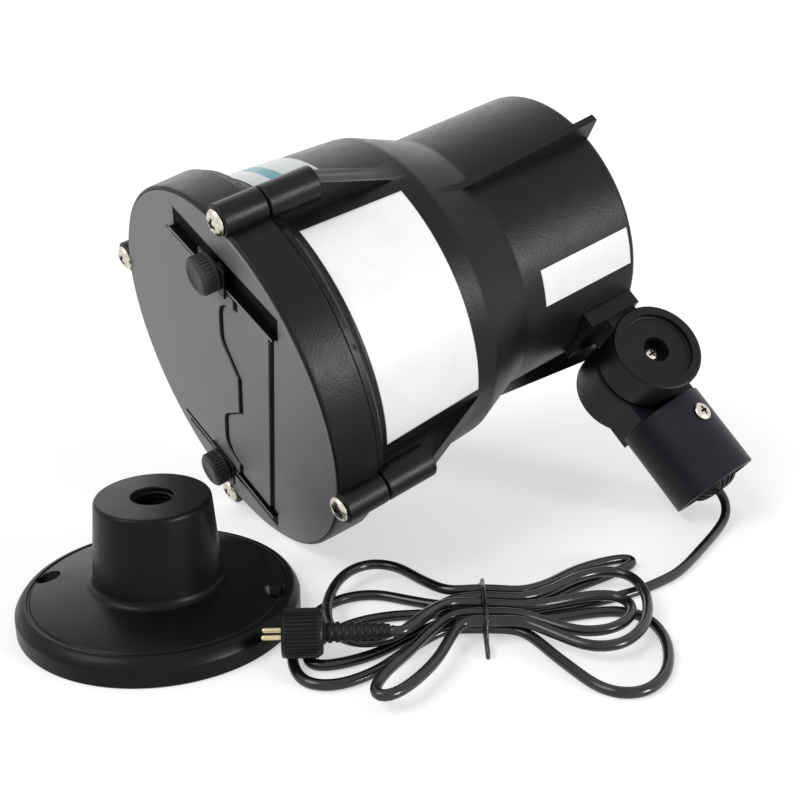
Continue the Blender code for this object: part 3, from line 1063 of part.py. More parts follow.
def make_plug(looks):
    turn = Matrix.Rotation(math.radians(PLUG_AZIMUTH), 4, "Z") @ ALONG_X
    place = Matrix.Translation(plug_axis(0)) @ turn
    body = turned([(0.0, PIN_LENGTH + 0.8), (PLUG_BODY_RADIUS, PIN_LENGTH + 0.8),
                   (PLUG_BODY_RADIUS, RELIEF_START - 3.0), (0.0, RELIEF_START - 3.0)], 24)
    plug = piece("plug_body", moved(body, place), looks["black_plastic"], None)
    for side, name in SIDES:
        beside = place @ Matrix.Translation((0, side * PIN_PITCH / 2, 0))
        pin = rod(PIN_RADIUS, 0.0, PIN_LENGTH + PIN_ROOT, 12, edge=0.3)
        piece("plug_pin_" + name, moved(pin, beside), looks["brass"], None)
        hole = rod(PIN_RADIUS + FIT, PIN_LENGTH - 1.0, PIN_LENGTH + PIN_ROOT + FIT, 12)
        shaped(plug, "DIFFERENCE", moved(hole, beside))
    ring = turned([(PLUG_BODY_RADIUS + FIT, PIN_LENGTH), (COLLAR_RADIUS - 0.8, PIN_LENGTH),
                   (COLLAR_RADIUS, PIN_LENGTH + 0.8), (COLLAR_RADIUS, RELIEF_START - 0.8),
                   (COLLAR_RADIUS - 0.8, RELIEF_START), (RELIEF_RADIUS + 0.8, RELIEF_START),
                   (RELIEF_RADIUS + 0.8, RELIEF_START - 3.0 + FIT),
                   (PLUG_BODY_RADIUS + FIT, RELIEF_START - 3.0 + FIT)],
                  scallops=COLLAR_RIBS, scallop_depth=0.5, scallop_from=COLLAR_RADIUS - 0.3)
    piece("plug_ring", moved(ring, place), looks["black_plastic"], None, at=plug_axis(PIN_LENGTH))
    relief = [(0.0, RELIEF_START - 3.0 + FIT)]
    relief += [(RELIEF_RADIUS + 0.4, RELIEF_START - 3.0 + FIT), (RELIEF_RADIUS + 0.4, RELIEF_START + 0.5)]
    pitch = (RELIEF_LENGTH - 1.0) / (2 * RELIEF_RIBS)
    for rib in range(2 * RELIEF_RIBS):
        thin = 0.0 if rib % 2 else 0.55
        relief.append((RELIEF_RADIUS - thin - 0.05 * rib, RELIEF_START + 0.5 + (rib + 0.5) * pitch))
    relief += [(CORD_RADIUS + 0.9, RELIEF_END), (0.0, RELIEF_END)]
    piece("strain_relief", moved(turned(relief, 12), place), looks["black_plastic"], None)


def make_looks():
    return {
        "black_plastic": material("black_plastic", (0.012, 0.012, 0.013), 0.42),
        "blue_black": material("blue_black", (0.011, 0.011, 0.016), 0.38),
        "thumb_plastic": material("thumb_plastic", (0.03, 0.03, 0.03), 0.5),
        "grey_satin": material("grey_satin", (0.16, 0.16, 0.158), 0.5),
        "rubber": material("rubber", (0.01, 0.01, 0.01), 0.7),
        "glass": material("glass", (0.6, 0.64, 0.62), 0.05),
        "bright_steel": material("bright_steel", (0.75, 0.74, 0.68), 0.2, 1.0),
        "zinc_steel": material("zinc_steel", (0.45, 0.46, 0.48), 0.35, 1.0),
        "aluminium": material("aluminium", (0.7, 0.71, 0.72), 0.35, 1.0),
        "brass": material("brass", (0.75, 0.55, 0.25), 0.25, 1.0),
        "grating": material("grating", (0.5, 0.55, 0.6), 0.1),
        "board_green": material("board_green", (0.02, 0.12, 0.05), 0.5),
        "white_label": material("white_label", (0.9, 0.9, 0.9), 0.4),
        "silver_label": material("silver_label", (0.5, 0.53, 0.53), 0.35),
        "liner_grey": material("liner_grey", (0.1, 0.1, 0.1), 0.5),
        "cord_black": material("cord_black", (0.012, 0.012, 0.014), 0.35),
    }


def main():
    ground_clear()
    looks = make_looks()
    pose = resting_pose()
    lying = frame_empty("projector_lying", None)
    lying.matrix_world = Matrix.Translation(pose.translation * MM) @ pose.to_3x3().to_4x4()
    knuckle = frame_empty("knuckle_axis", lying, (KNUCKLE_REACH, 0.0, KNUCKLE_PLACE))
    make_cap(looks, knuckle)
    make_cap_screws(looks, knuckle)
    make_front_plate(looks, knuckle)
    make_window(looks, knuckle)
    make_shutters(looks, knuckle, knuckle)
    make_thumb_screws(looks, knuckle)
    make_housing(looks, knuckle)
    make_seal(looks, knuckle)
    make_labels(looks, knuckle)
    make_pivot_bracket(looks, knuckle)
    make_drive(looks, knuckle, knuckle)
    make_electronics(looks, knuckle)
    make_socket_arm(looks, lying)
    make_knuckle_screw(looks, lying)
    make_set_screw(looks, lying)
    make_gland(looks, lying, lying)
    make_wall_flange(looks, None)
    make_plug(looks)
    make_cord(looks, pose)
    make_tie(looks)


main()
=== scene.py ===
"""Laser bird deterrent, dressed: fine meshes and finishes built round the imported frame.

Shapes are drawn in millimetres. The projector's pieces are drawn in its own frame, which the frame's
joints give: +Z from the front disc to the rear wall, +X to the knuckle, -Y to the knuckle's open side.
The flange, the cord and the plug are drawn where they lie on the ground.
"""
import json
import math

import bmesh
import bpy
from bpy.props import FloatProperty, FloatVectorProperty, IntProperty, PointerProperty
from mathutils import Matrix, Vector


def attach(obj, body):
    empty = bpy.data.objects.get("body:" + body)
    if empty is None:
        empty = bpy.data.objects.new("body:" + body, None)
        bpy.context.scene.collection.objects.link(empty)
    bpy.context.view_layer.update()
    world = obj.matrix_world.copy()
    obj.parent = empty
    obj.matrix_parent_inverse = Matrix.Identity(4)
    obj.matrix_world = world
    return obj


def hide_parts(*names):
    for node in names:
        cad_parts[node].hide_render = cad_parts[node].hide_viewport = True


bl_info = {
    "name": "Laser bird deterrent",
    "version": (1, 0, 0),
    "blender": (4, 5, 0),
    "location": "View3D > Sidebar > Deterrent",
    "description": "Builds a round laser projector with its knuckle, wall flange and cord",
    "category": "Object",
}

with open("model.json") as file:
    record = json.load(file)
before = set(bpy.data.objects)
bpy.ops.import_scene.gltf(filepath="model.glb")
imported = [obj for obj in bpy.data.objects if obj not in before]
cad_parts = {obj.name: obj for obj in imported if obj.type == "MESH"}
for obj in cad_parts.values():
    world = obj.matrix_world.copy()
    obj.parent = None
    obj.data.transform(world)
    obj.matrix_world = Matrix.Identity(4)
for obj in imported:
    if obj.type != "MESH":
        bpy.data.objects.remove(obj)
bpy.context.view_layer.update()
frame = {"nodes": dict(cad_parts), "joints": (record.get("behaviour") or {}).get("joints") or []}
JOINTS = {joint["name"]: joint for joint in frame["joints"]}

# A millimetre in metres, the gap between pieces, the facets of a large round, the corners that are merged,
# and the angles from which an edge is rounded and left sharp
MM = 0.001
FIT = 0.3
ROUND = 180
WELD_DISTANCE = 0.004
BEVEL_ANGLE = 32.0
SMOOTH_ANGLE = 42.0

# The stage: the camera's place in metres and tilt in degrees, half the floor's width in millimetres, the
# light of the surroundings on the object, and what lifts the floor to white where it is seen
CAMERA_PLACE = (0.09442, -0.41769, 0.24082)
CAMERA_TILT = 20.0
FLOOR_HALF = 20000.0
AMBIENT = 0.36
FLOOR_LIFT = 0.52

# The cap, the disc and what lies on it, in millimetres; the shutters are a little narrower than the solids
CAP_FRONT_RADIUS = 82.0
CAP_REAR_RADIUS = 82.7
CAP_DEPTH = 18.3
CAP_INNER_RADIUS = 77.7
CAP_LEDGE_RADIUS = 70.0
LEDGE_FRONT = 1.9
LEDGE_BACK = 6.2
PLATE_RADIUS = 80.4
PLATE_FACE = -0.8
PLATE_BACK = 1.6
WINDOW_LONG = 92.0
WINDOW_SHORT = 52.0
SHUTTER_HALF = 54.8
SHUTTER_THICK = 0.8
LOWER_TOP = PLATE_FACE - FIT - SHUTTER_THICK
UPPER_TOP = LOWER_TOP - FIT - SHUTTER_THICK
CLAMP_THICK = 1.2
CLAMP_TOP = UPPER_TOP - FIT - CLAMP_THICK
CLAMP_PLACE = 61.0
THUMB_RADIUS = 8.0
THUMB_HOLE = 2.2
THUMB_TOP = CLAMP_TOP - FIT - 7.0
RAIL_PLACE = 56.9
RAIL_WIDTH = 1.2
RAIL_TOP = UPPER_TOP - 0.25
RAIL_STEP = RAIL_TOP + 0.15
CHANNEL_PLACE = 60.9
CHANNEL_WIDTH = 11.0
# The black bar of painted shadow beside the lower shutter's end: its place and width
BAR_PLACE = 35.8
BAR_WIDTH = 1.9
# How far the dark sheet of painted shadow reaches past the upper shutter's edge
SHADOW_MARGIN = 1.5
RAIL_LOW = 34.0
RAIL_HIGH = 40.0

# The screws: radius and height of the head, radius of the shank, and length
CAP_SCREW = (5.3, 2.6, 2.0, 26.0)
PIVOT_SCREW = (3.6, 2.4, 2.6, 35.0)
SET_SCREW = (4.3, 1.6, 2.15, 4.2)
SCREW_HOLE = 2.3

# The screw bosses and the housing, with places counted rearwards from the cap's front
BOSS_ANGLES = (-106.5, -16.5, 73.5, 163.5)
BOSS_REACH = 83.6
BOSS_RADIUS = 7.0
BOSS_FRONT = 0.6
BOSS_LENGTH = 42.0
RAMP_END = 79.0
RAMP_WIDTH = 9.0
HOUSING_FRONT = 18.9
HOUSING_LENGTH = 180.0
FLANGE_RADIUS = 81.0
BARREL_FRONT_RADIUS = 75.0
BARREL_REAR_RADIUS = 72.0
BARREL_START = 26.5
TAPER_START = 87.7
TAPER_END = 114.2
REAR_RADIUS = 61.5
FIN_ANGLES = (-93.7, 26.3, 146.3)
FIN_START = 104.0
FIN_HEIGHT = 11.0
FIN_THICK = 3.2

# The sheets on the housing: the angles of their ends and the places of their rims along the axis
SIDE_LABEL = (-97.5, -24.0, 28.0, 77.0)
REAR_LABEL = (-51.0, -35.0, 125.0, 176.0)
TOP_STICKER = (-150.0, -116.0, 29.0, 57.0)

# The knuckle and the pipe socket
KNUCKLE_REACH = 87.0
KNUCKLE_PLACE = 171.7
KNUCKLE_RADIUS = 21.3
KNUCKLE_HALF = 20.0
PIVOT_HOLE = 2.9
PIVOT_WELL = 9.0
HALF_GAP = 0.6
ARM_DEPTH = 26.0
SOCKET_RADIUS = 20.5
SOCKET_BORE = 16.8
SOCKET_OFFSET = 10.0
SOCKET_START = 22.1
SOCKET_LENGTH = 63.8
SET_SCREW_ALONG = 34.0
SET_SCREW_TURN = -103.0
GLAND_NUT_RADIUS = 12.6
NUT_HIGH = SOCKET_LENGTH + 3.0
NUT_LOW = NUT_HIGH - 9.0

# The flange: its radius, and its rim and the hub's foot as steps from their radius, each with a height
FLANGE_BASE = 55.0
FLANGE_RIM = ((0.6, 0.0), (0.0, 0.6), (0.0, 6.6), (0.3, 7.4), (1.2, 8.9), (2.2, 10.2), (3.2, 10.9),
              (3.9, 11.15), (4.6, 11.1), (5.0, 10.6), (5.6, 10.6), (6.2, 11.3))
FLANGE_HOLES = (-7.0, 173.0)
HUB_FOOT = ((3.1, 14.9), (1.9, 15.2), (1.0, 15.8), (0.4, 16.8), (0.0, 18.2))
HUB_HEIGHT = 50.0
HUB_FOOT_RADIUS = 25.0
HUB_TOP_RADIUS = 22.4
HUB_HOLE_RADIUS = 8.2
HUB_HOLE_DEPTH = 32.0
THREAD_PITCH = 1.8

# The cord, its tie and the plug on the ground
CORD_RADIUS = 2.1
HANK_CENTRE = (126.8, -11.0)
SLOT_PITCH = 3.0
ROW_PITCH = 5.0
WAIST_HALF = 5.0
LOBE_POINTS = 12
JOIN_PLACE = (152.8, -3.4)
JOIN_AZIMUTH = 18.0
TIE_RADIUS = 0.8
TIE_FAR = 12.0
TIE_NEAR = 9.0
WAIST_LIFT = 2 * TIE_RADIUS + FIT
PLUG_TIP = (44.3, -40.0)
PLUG_AZIMUTH = 3.0
PIN_LENGTH = 7.5
PIN_PLACE = 2.5
COLLAR_RADIUS = 9.0
RELIEF_START = 22.5
RELIEF_END = 46.7
RELIEF_RADIUS = 3.9
PLUG_HEIGHT = 2 * CORD_RADIUS + FIT + COLLAR_RADIUS

# The hank's half loops: side, slots in and out, layer, reach, spread, lean, bend and skew
LOBES = (
    (-1, (3, 5), 0, 61.5, 14.2, -10.8, -13.8, -1.9),
    (1, (5, 7), 0, 62.4, 28.0, -65.0, 49.8, 0.5),
    (-1, (7, 1), 0, 66.9, -30.0, 0.2, -24.8, -1.4),
    (1, (1, 0), 1, 62.4, -4.8, 63.5, -13.6, 0.3),
    (-1, (0, 2), 1, 55.6, 30.5, 19.9, -14.9, -1.6),
    (1, (2, 8), 1, 59.4, 28.0, -14.2, 23.9, 1.3),
    (-1, (8, 6), 1, 34.4, -1.6, -58.0, -1.0, -6.0),
    (1, (6, 4), 1, 52.2, -12.7, -22.3, 25.9, 1.4),
)


def shift(x, y, z):
    """A move, as a matrix."""
    return Matrix.Translation((x, y, z))


def spin(degrees, axis):
    """A turn about an axis through the origin, as a matrix."""
    return Matrix.Rotation(math.radians(degrees), 4, axis)


def polar(radius, degrees, z=0.0):
    """A point at a distance from the Z axis and an angle round it."""
    turn = math.radians(degrees)
    return Vector((radius * math.cos(turn), radius * math.sin(turn), z))


def projector_frame():
    """Where the projector lies, from the axes of its joints."""
    across = -Vector(JOINTS["projector_tilt"]["axis"])
    outward = Vector(JOINTS["gland_nut_turn"]["axis"])
    rearward = Vector(JOINTS["near_thumb_turn"]["axis"])
    turn = Matrix((outward, across, rearward)).transposed()
    knuckle = Vector(JOINTS["projector_tilt"]["pos_m"])
    centre = knuckle - turn @ Vector((KNUCKLE_REACH, 0.0, KNUCKLE_PLACE)) * MM
    return Matrix.Translation(centre) @ turn.to_4x4()


# Frames: the projector and the ground in metres, the disc's slides, the bosses, the knuckle and the socket
LYING = projector_frame() @ Matrix.Scale(MM, 4)
GROUND = Matrix.Scale(MM, 4)
ALONG_X = spin(90, "Y")
RADIAL = Matrix(((0, -1, 0, 0), (0, 0, 1, 0), (1, 0, 0, 0), (0, 0, 0, 1)))
SLIDE = spin(-16.5, "Z")
SKEWED = spin(11, "Z")
SIDES = ((-1, "near"), (1, "far"))
KNUCKLE = shift(KNUCKLE_REACH, 0, KNUCKLE_PLACE) @ spin(90, "X")
SOCKET = shift(KNUCKLE_REACH, SOCKET_OFFSET, KNUCKLE_PLACE) @ ALONG_X
SET_SCREW_SEAT = SOCKET @ shift(0, 0, SET_SCREW_ALONG) @ spin(SET_SCREW_TURN, "Z") @ spin(90, "Y")


# Shapes as meshes in millimetres

def arc(cx, cy, radius, start, end, count):
    """Points on an arc, from one angle to another in degrees."""
    points = [polar(radius, start + (end - start) * i / count) for i in range(count + 1)]
    return [(cx + point.x, cy + point.y) for point in points]


def turned(profile, steps=48):
    """Spin an outline of (radius, z) points about Z; where it touches the axis twice it makes a cup."""
    shape = bmesh.new()
    corners = [shape.verts.new((radius, 0.0, z)) for radius, z in profile]
    edges = []
    for i, corner in enumerate(corners):
        after = (i + 1) % len(corners)
        if profile[i][0] > 0.0 or profile[after][0] > 0.0:
            edges.append(shape.edges.new((corner, corners[after])))
    bmesh.ops.spin(shape, geom=corners + edges, cent=(0, 0, 0), axis=(0, 0, 1), angle=2 * math.pi,
                   steps=steps, use_merge=True, use_duplicate=False)
    bmesh.ops.remove_doubles(shape, verts=shape.verts, dist=1e-4)
    bmesh.ops.recalc_face_normals(shape, faces=shape.faces)
    return shape


def rod(radius, low, high, steps=48, edge=0.0):
    """A cylinder about Z between two heights, with rounded rims where an edge is given."""
    profile = [(0.0, low)]
    if edge:
        profile += arc(radius - edge, low + edge, edge, -90, 0, 3)
        profile += arc(radius - edge, high - edge, edge, 0, 90, 3)
    else:
        profile += [(radius, low), (radius, high)]
    return turned(profile + [(0.0, high)], steps)


def prism(outline, low, high):
    """A flat outline of (x, y) points raised between two heights."""
    shape = bmesh.new()
    face = shape.faces.new([shape.verts.new((x, y, low)) for x, y in outline])
    raised = bmesh.ops.extrude_face_region(shape, geom=[face])
    lifted = [item for item in raised["geom"] if isinstance(item, bmesh.types.BMVert)]
    bmesh.ops.translate(shape, verts=lifted, vec=(0, 0, high - low))
    bmesh.ops.recalc_face_normals(shape, faces=shape.faces)
    return shape


def block(x_low, x_high, y_low, y_high, z_low, z_high):
    """A box between two places on each axis."""
    return prism([(x_low, y_low), (x_high, y_low), (x_high, y_high), (x_low, y_high)], z_low, z_high)


def moved(shape, matrix):
    """A shape at another place, with its faces kept outwards."""
    bmesh.ops.transform(shape, matrix=matrix, verts=shape.verts)
    if matrix.to_3x3().determinant() < 0:
        bmesh.ops.reverse_faces(shape, faces=shape.faces)
    return shape


def slab(*reaches):
    """A block that lies square to the window."""
    return moved(block(*reaches), SLIDE)


def rib(core, tip, foot, shoulder, crest, low, high):
    """One rib of a grip along Z: foot and shoulder are each a step from the core and half a width."""
    half = [(core + foot[0], foot[1]), (core + shoulder[0], shoulder[1]), (tip, crest)]
    return prism([(x, -y) for x, y in half] + half[::-1], low, high)


# Objects

def linked(name, data):
    """An object of some data, in the scene."""
    made = bpy.data.objects.new(name, data)
    bpy.context.scene.collection.objects.link(made)
    return made


def raw(name, shape):
    """An object of a shape that is still in millimetres and at its drawing place."""
    data = bpy.data.meshes.new(name)
    shape.to_mesh(data)
    shape.free()
    return linked(name, data)


def plain_mesh(made):
    """The mesh that an object's modifiers or its curve give."""
    bpy.context.view_layer.update()
    depsgraph = bpy.context.evaluated_depsgraph_get()
    return bpy.data.meshes.new_from_object(made.evaluated_get(depsgraph), depsgraph=depsgraph)


def baked(made):
    """Turn an object with its modifiers into a plain mesh."""
    data = plain_mesh(made)
    made.modifiers.clear()
    made.data = data
    return made


def as_shape(*objects):
    """The meshes of some objects as one shape; the objects are removed."""
    result = bmesh.new()
    for made in objects:
        result.from_mesh(made.data)
    for made in objects:
        bpy.data.objects.remove(made)
    return result


def combined(made, *steps):
    """Join shapes to an object or cut them from it: each step is UNION or DIFFERENCE and its shapes."""
    tools = []
    for kind, *shapes in steps:
        for shape in shapes:
            tool = raw("tool", shape)
            modifier = made.modifiers.new(kind.title(), "BOOLEAN")
            modifier.operation = kind
            modifier.solver = "MANIFOLD"
            modifier.object = tool
            tools.append(tool)
    baked(made)
    for tool in tools:
        bpy.data.objects.remove(tool)
    return made


def rounded(made, width, segments=2):
    """Round an object's sharp edges by a width in millimetres."""
    merge = made.modifiers.new("Weld", "WELD")
    merge.merge_threshold = WELD_DISTANCE
    bevel = made.modifiers.new("Bevel", "BEVEL")
    bevel.width = width
    bevel.segments = segments
    bevel.limit_method = "ANGLE"
    bevel.angle_limit = math.radians(BEVEL_ANGLE)
    return baked(made)


def placed(made, finish, body, slot, *nodes, place=LYING):
    """Bring a drawn object to its place in metres, give it its finish and fix it to its body."""
    made.data.transform(place)
    made.data.materials.clear()
    made.data.materials.append(FINISHES[finish])
    for polygon in made.data.polygons:
        polygon.use_smooth = True
    made.data.set_sharp_from_angle(angle=math.radians(SMOOTH_ANGLE))
    weigh = made.modifiers.new("Weighted normals", "WEIGHTED_NORMAL")
    weigh.keep_sharp = True
    baked(made)
    fixed(made, body, slot, *nodes)


def fixed(made, body, slot, *nodes):
    """Fix a finished object to its body and hide the part's solids that it stands for."""
    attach(made, body)
    if nodes:
        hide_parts(*nodes)


# Nodes

def feed(tree, socket, value):
    """Link an input to a socket or to a node's first output, or set it to a value."""
    if isinstance(value, bpy.types.Node):
        value = value.outputs[0]
    if isinstance(value, bpy.types.NodeSocket):
        tree.links.new(value, socket)
    else:
        socket.default_value = value


def add(tree, kind, inputs=None, **settings):
    """Add a node with its settings, and set or link its inputs."""
    node = tree.nodes.new(kind)
    for name, value in settings.items():
        setattr(node, name, value)
    for key, value in (inputs or {}).items():
        feed(tree, node.inputs[key], value)
    return node


COPIES_INPUTS = (("Geometry", "Geometry"), ("Count", "Int"), ("Radius", "Float"), ("Start", "Float"),
                 ("Turn", "Float"), ("Shift", "Float"), ("Shrink", "Float"), ("Twist", "Float"),
                 ("Seed", "Int"), ("Finish", "Material"))


def copies_tree():
    """The node tree that sets copies of a shape on a circle, each a step further on, up and smaller."""
    known = bpy.data.node_groups.get("Copies round an axis")
    if known:
        return known
    tree = bpy.data.node_groups.new("Copies round an axis", "GeometryNodeTree")
    for name, kind in COPIES_INPUTS:
        tree.interface.new_socket(name, in_out="INPUT", socket_type="NodeSocket" + kind)
    tree.interface.new_socket("Geometry", in_out="OUTPUT", socket_type="NodeSocketGeometry")
    given = add(tree, "NodeGroupInput").outputs
    index = add(tree, "GeometryNodeInputIndex")
    points = add(tree, "GeometryNodePoints", {"Count": given["Count"]})
    angle = add(tree, "ShaderNodeMath", {0: index, 1: given["Turn"], 2: given["Start"]},
                operation="MULTIPLY_ADD")
    start = add(tree, "ShaderNodeCombineXYZ", {"X": given["Radius"]})
    around = add(tree, "ShaderNodeVectorRotate", {"Vector": start, "Angle": angle}, rotation_type="Z_AXIS")
    lift = add(tree, "ShaderNodeMath", {0: index, 1: given["Shift"]}, operation="MULTIPLY")
    raised = add(tree, "ShaderNodeCombineXYZ", {"Z": lift})
    place = add(tree, "ShaderNodeVectorMath", {0: around, 1: raised}, operation="ADD")
    spread = add(tree, "GeometryNodeSetPosition", {"Geometry": points, "Position": place})
    low = add(tree, "ShaderNodeMath", {0: given["Twist"], 1: -1.0}, operation="MULTIPLY")
    chance = add(tree, "FunctionNodeRandomValue", {"Min": low, "Max": given["Twist"], "Seed": given["Seed"]},
                 data_type="FLOAT")
    facing = add(tree, "ShaderNodeMath", {0: angle, 1: chance.outputs["Value"]}, operation="ADD")
    rotation = add(tree, "ShaderNodeCombineXYZ", {"Z": facing})
    less = add(tree, "ShaderNodeMath", {0: index, 1: given["Shrink"]}, operation="MULTIPLY")
    size = add(tree, "ShaderNodeMath", {0: 1.0, 1: less}, operation="SUBTRACT")
    scale = add(tree, "ShaderNodeCombineXYZ", {"X": size, "Y": size, "Z": 1.0})
    set_out = add(tree, "GeometryNodeInstanceOnPoints", {
        "Points": spread, "Instance": given["Geometry"], "Rotation": rotation, "Scale": scale})
    real = add(tree, "GeometryNodeRealizeInstances", {"Geometry": set_out})
    dressed = add(tree, "GeometryNodeSetMaterial", {"Geometry": real, "Material": given["Finish"]})
    add(tree, "NodeGroupOutput", {"Geometry": dressed})
    return tree


def copies(name, shape, finish, count, **values):
    """Copies of one shape, made with the node tree and turned into a plain mesh."""
    made = raw(name, shape)
    modifier = made.modifiers.new("Copies", "NODES")
    tree = copies_tree()
    modifier.node_group = tree
    given = {"Count": count, "Finish": FINISHES[finish], "Radius": 0.0, "Start": 0.0, "Turn": 0.0,
             "Shift": 0.0, "Shrink": 0.0, "Twist": 0.0, "Seed": 3}
    given.update(values)
    for item in tree.interface.items_tree:
        if item.in_out == "INPUT" and item.name in given:
            modifier[item.identifier] = given[item.name]
    return baked(made)


# Finishes

def linear(code):
    """An sRGB hex colour as the linear colour that shaders take."""
    parts = [int(code[i:i + 2], 16) / 255 for i in (1, 3, 5)]
    return tuple(p / 12.92 if p <= 0.04045 else ((p + 0.055) / 1.055) ** 2.4 for p in parts) + (1.0,)


def new_finish(name, **values):
    """A material with a Principled shader whose even values are set on its own sockets."""
    made = bpy.data.materials.new(name)
    made.use_nodes = True
    tree = made.node_tree
    shader = tree.nodes["Principled BSDF"]
    for key, value in values.items():
        shader.inputs[key.replace("_", " ").title().replace("Ior", "IOR")].default_value = value
    return made, tree, shader.inputs, add(tree, "ShaderNodeTexCoord").outputs


def mask(tree, place, size_mm, detail, grain, low=0.0, high=1.0, to_low=0.0, to_high=1.0):
    """Patches of about a size in millimetres, with a stretch of their values spread over another."""
    patches = add(tree, "ShaderNodeTexNoise", {"Vector": place, "Scale": 1.0 / (size_mm * MM),
                                               "Detail": detail, "Roughness": grain})
    return add(tree, "ShaderNodeMapRange", {"Value": patches, "From Min": low, "From Max": high,
                                            "To Min": to_low, "To Max": to_high})


def layered_finish(name, base, layers, gloss, bumps, **values):
    """A finish of a base colour, colours laid over it, a varying roughness and a fine relief.

    Layers are pairs of where and a colour. Where, gloss and bumps are what mask takes, or a function that
    gives the node or socket instead; bumps come with a depth in millimetres and a strength.
    """
    made, tree, sockets, coords = new_finish(name, **values)

    def spread(where):
        return where(tree, coords) if callable(where) else mask(tree, coords["Object"], *where)

    colour = linear(base)
    for where, tone in layers:
        colour = add(tree, "ShaderNodeMix", {0: spread(where), 6: colour, 7: linear(tone)},
                     data_type="RGBA").outputs[2]
    feed(tree, sockets["Base Color"], colour)
    feed(tree, sockets["Roughness"], spread(gloss))
    for where, depth_mm, strength in bumps:
        feed(tree, sockets["Normal"], add(tree, "ShaderNodeBump", {
            "Height": spread(where), "Distance": depth_mm * MM, "Strength": strength}))
    return made


def moulded_plastic(name, dark, light, speckle, grain_mm, grain_deep, rough, shine=0.22):
    """Plastic moulded in an eroded steel tool: an even fine grain, broad flow marks and rubbed patches.

    The real grain is about 0.2 mm; it is drawn several times coarser so that it shows.
    """
    flow = (26.0, 4.0, 0.6, 0.34, 0.66)
    specks = (1.1, 2.0, 0.7, 0.66, 0.8, 0.0, 0.35)
    rubbed = (7.0, 3.0, 0.5, 0.3, 0.7, rough - 0.03, rough + 0.04)
    return layered_finish(name, dark, [(flow, light), (specks, speckle)], rubbed,
                          [((grain_mm, 2.0, 0.6), grain_deep, 1.0)], ior=1.5, specular_ior_level=shine)


def rolling_lines(tree, coords):
    """Fine lines that run one way over a rolled sheet, as a height."""
    aligned = add(tree, "ShaderNodeMapping", {"Vector": coords["Object"], "Scale": (1.0, 9.0, 1.0),
                                              "Rotation": (0.4, 0.9, 0.6)})
    return mask(tree, aligned, 3.0, 2.0, 0.5)


def anodised_plate():
    """Aluminium sheet, etched and anodised grey: satin, faintly cloudy, with fine lines from rolling."""
    cloud = (17.0, 5.0, 0.62)
    flecks = (1.6, 3.0, 0.7, 0.58, 0.74, 0.0, 0.30)
    return layered_finish("anodised_aluminium", "#757576",
                          [((*cloud, 0.32, 0.68), "#828283"), (flecks, "#9a9a9a")],
                          (*cloud, 0.3, 0.7, 0.46, 0.58), [(rolling_lines, 0.012, 1.0)], metallic=0.35)


def plated_steel(name, light, dark, rough):
    """Bright zinc on steel: a warm shine broken by fine turning marks and small dull spots."""
    spots = (1.2, 3.0, 0.6)
    return layered_finish(name, light, [((*spots, 0.4, 0.7), dark)], (*spots, 0.3, 0.75, rough, rough + 0.16),
                          [((0.6, 2.0, 0.5), 0.002, 1.0)], metallic=1.0)


def nitrile_rubber():
    """Moulded rubber: dull and dark with a faint bloom."""
    bloom = (5.0, 4.0, 0.5)
    return layered_finish("nitrile_rubber", "#191919", [((*bloom, 0.35, 0.7), "#2a2a2b")],
                          (*bloom, 0.3, 0.7, 0.60, 0.74), [((0.6, 2.0, 0.5), 0.02, 1.0)], ior=1.5)


def cable_jacket():
    """Soft PVC pulled over two cores: glossy, slightly wavy, with dusty dull stretches."""
    dust = (9.0, 4.0, 0.65)
    return layered_finish("soft_pvc", "#0e1012", [((*dust, 0.4, 0.75), "#202529")],
                          (*dust, 0.35, 0.75, 0.16, 0.30), [((2.6, 2.0, 0.5), 0.10, 0.6)], ior=1.5,
                          specular_ior_level=0.5)


def sheet_rim(tree, coords):
    """Where a sheet's cut rim is, from its own UV map."""
    across = add(tree, "ShaderNodeSeparateXYZ", {0: coords["UV"]})
    away = {}
    for i, axis in enumerate(("X", "Y")):
        off_middle = add(tree, "ShaderNodeMath", {0: across.outputs[axis], 1: 0.5}, operation="SUBTRACT")
        away[i] = add(tree, "ShaderNodeMath", {0: off_middle}, operation="ABSOLUTE")
    furthest = add(tree, "ShaderNodeMath", away, operation="MAXIMUM")
    return add(tree, "ShaderNodeMapRange", {"Value": furthest, "From Min": 0.488, "From Max": 0.5})


def coated_paper():
    """White vinyl label stock: clean, half gloss, a little grey where it is handled and at its cut rim."""
    soil = (14.0, 4.0, 0.6)
    return layered_finish("white_vinyl", "#ececeb",
                          [((*soil, 0.45, 0.8, 0.0, 0.5), "#dededc"), (sheet_rim, "#c9c9c6")],
                          (*soil, 0.3, 0.7, 0.34, 0.46), [((3.0, 2.0, 0.5), 0.015, 1.0)], ior=1.5)


def printed_band(tree, coords):
    """Where the band is printed across the sticker, from its own UV map."""
    across = add(tree, "ShaderNodeSeparateXYZ", {0: coords["UV"]}).outputs["Y"]
    above = add(tree, "ShaderNodeMath", {0: across, 1: 0.30}, operation="GREATER_THAN")
    below = add(tree, "ShaderNodeMath", {0: across, 1: 0.52}, operation="LESS_THAN")
    return add(tree, "ShaderNodeMath", {0: above, 1: below}, operation="MULTIPLY")


def foil_sticker():
    """Silver foil, a little crumpled, with a printed teal band across it."""
    cloud = (6.0, 4.0, 0.6)
    return layered_finish("silver_foil", "#9a9e9e",
                          [((*cloud, 0.35, 0.7), "#acb0af"), (printed_band, "#1d6f78")],
                          (*cloud, 0.3, 0.7, 0.30, 0.42), [(cloud, 0.03, 1.0)], metallic=0.55)


def float_glass():
    """Clear glass with a faint green tint from its iron."""
    haze = (20.0, 3.0, 0.5)
    return layered_finish("float_glass", "#dfe9e4", [(haze, "#eef4f1")], (*haze, 0.3, 0.7, 0.01, 0.05), [],
                          ior=1.5, transmission_weight=1.0)


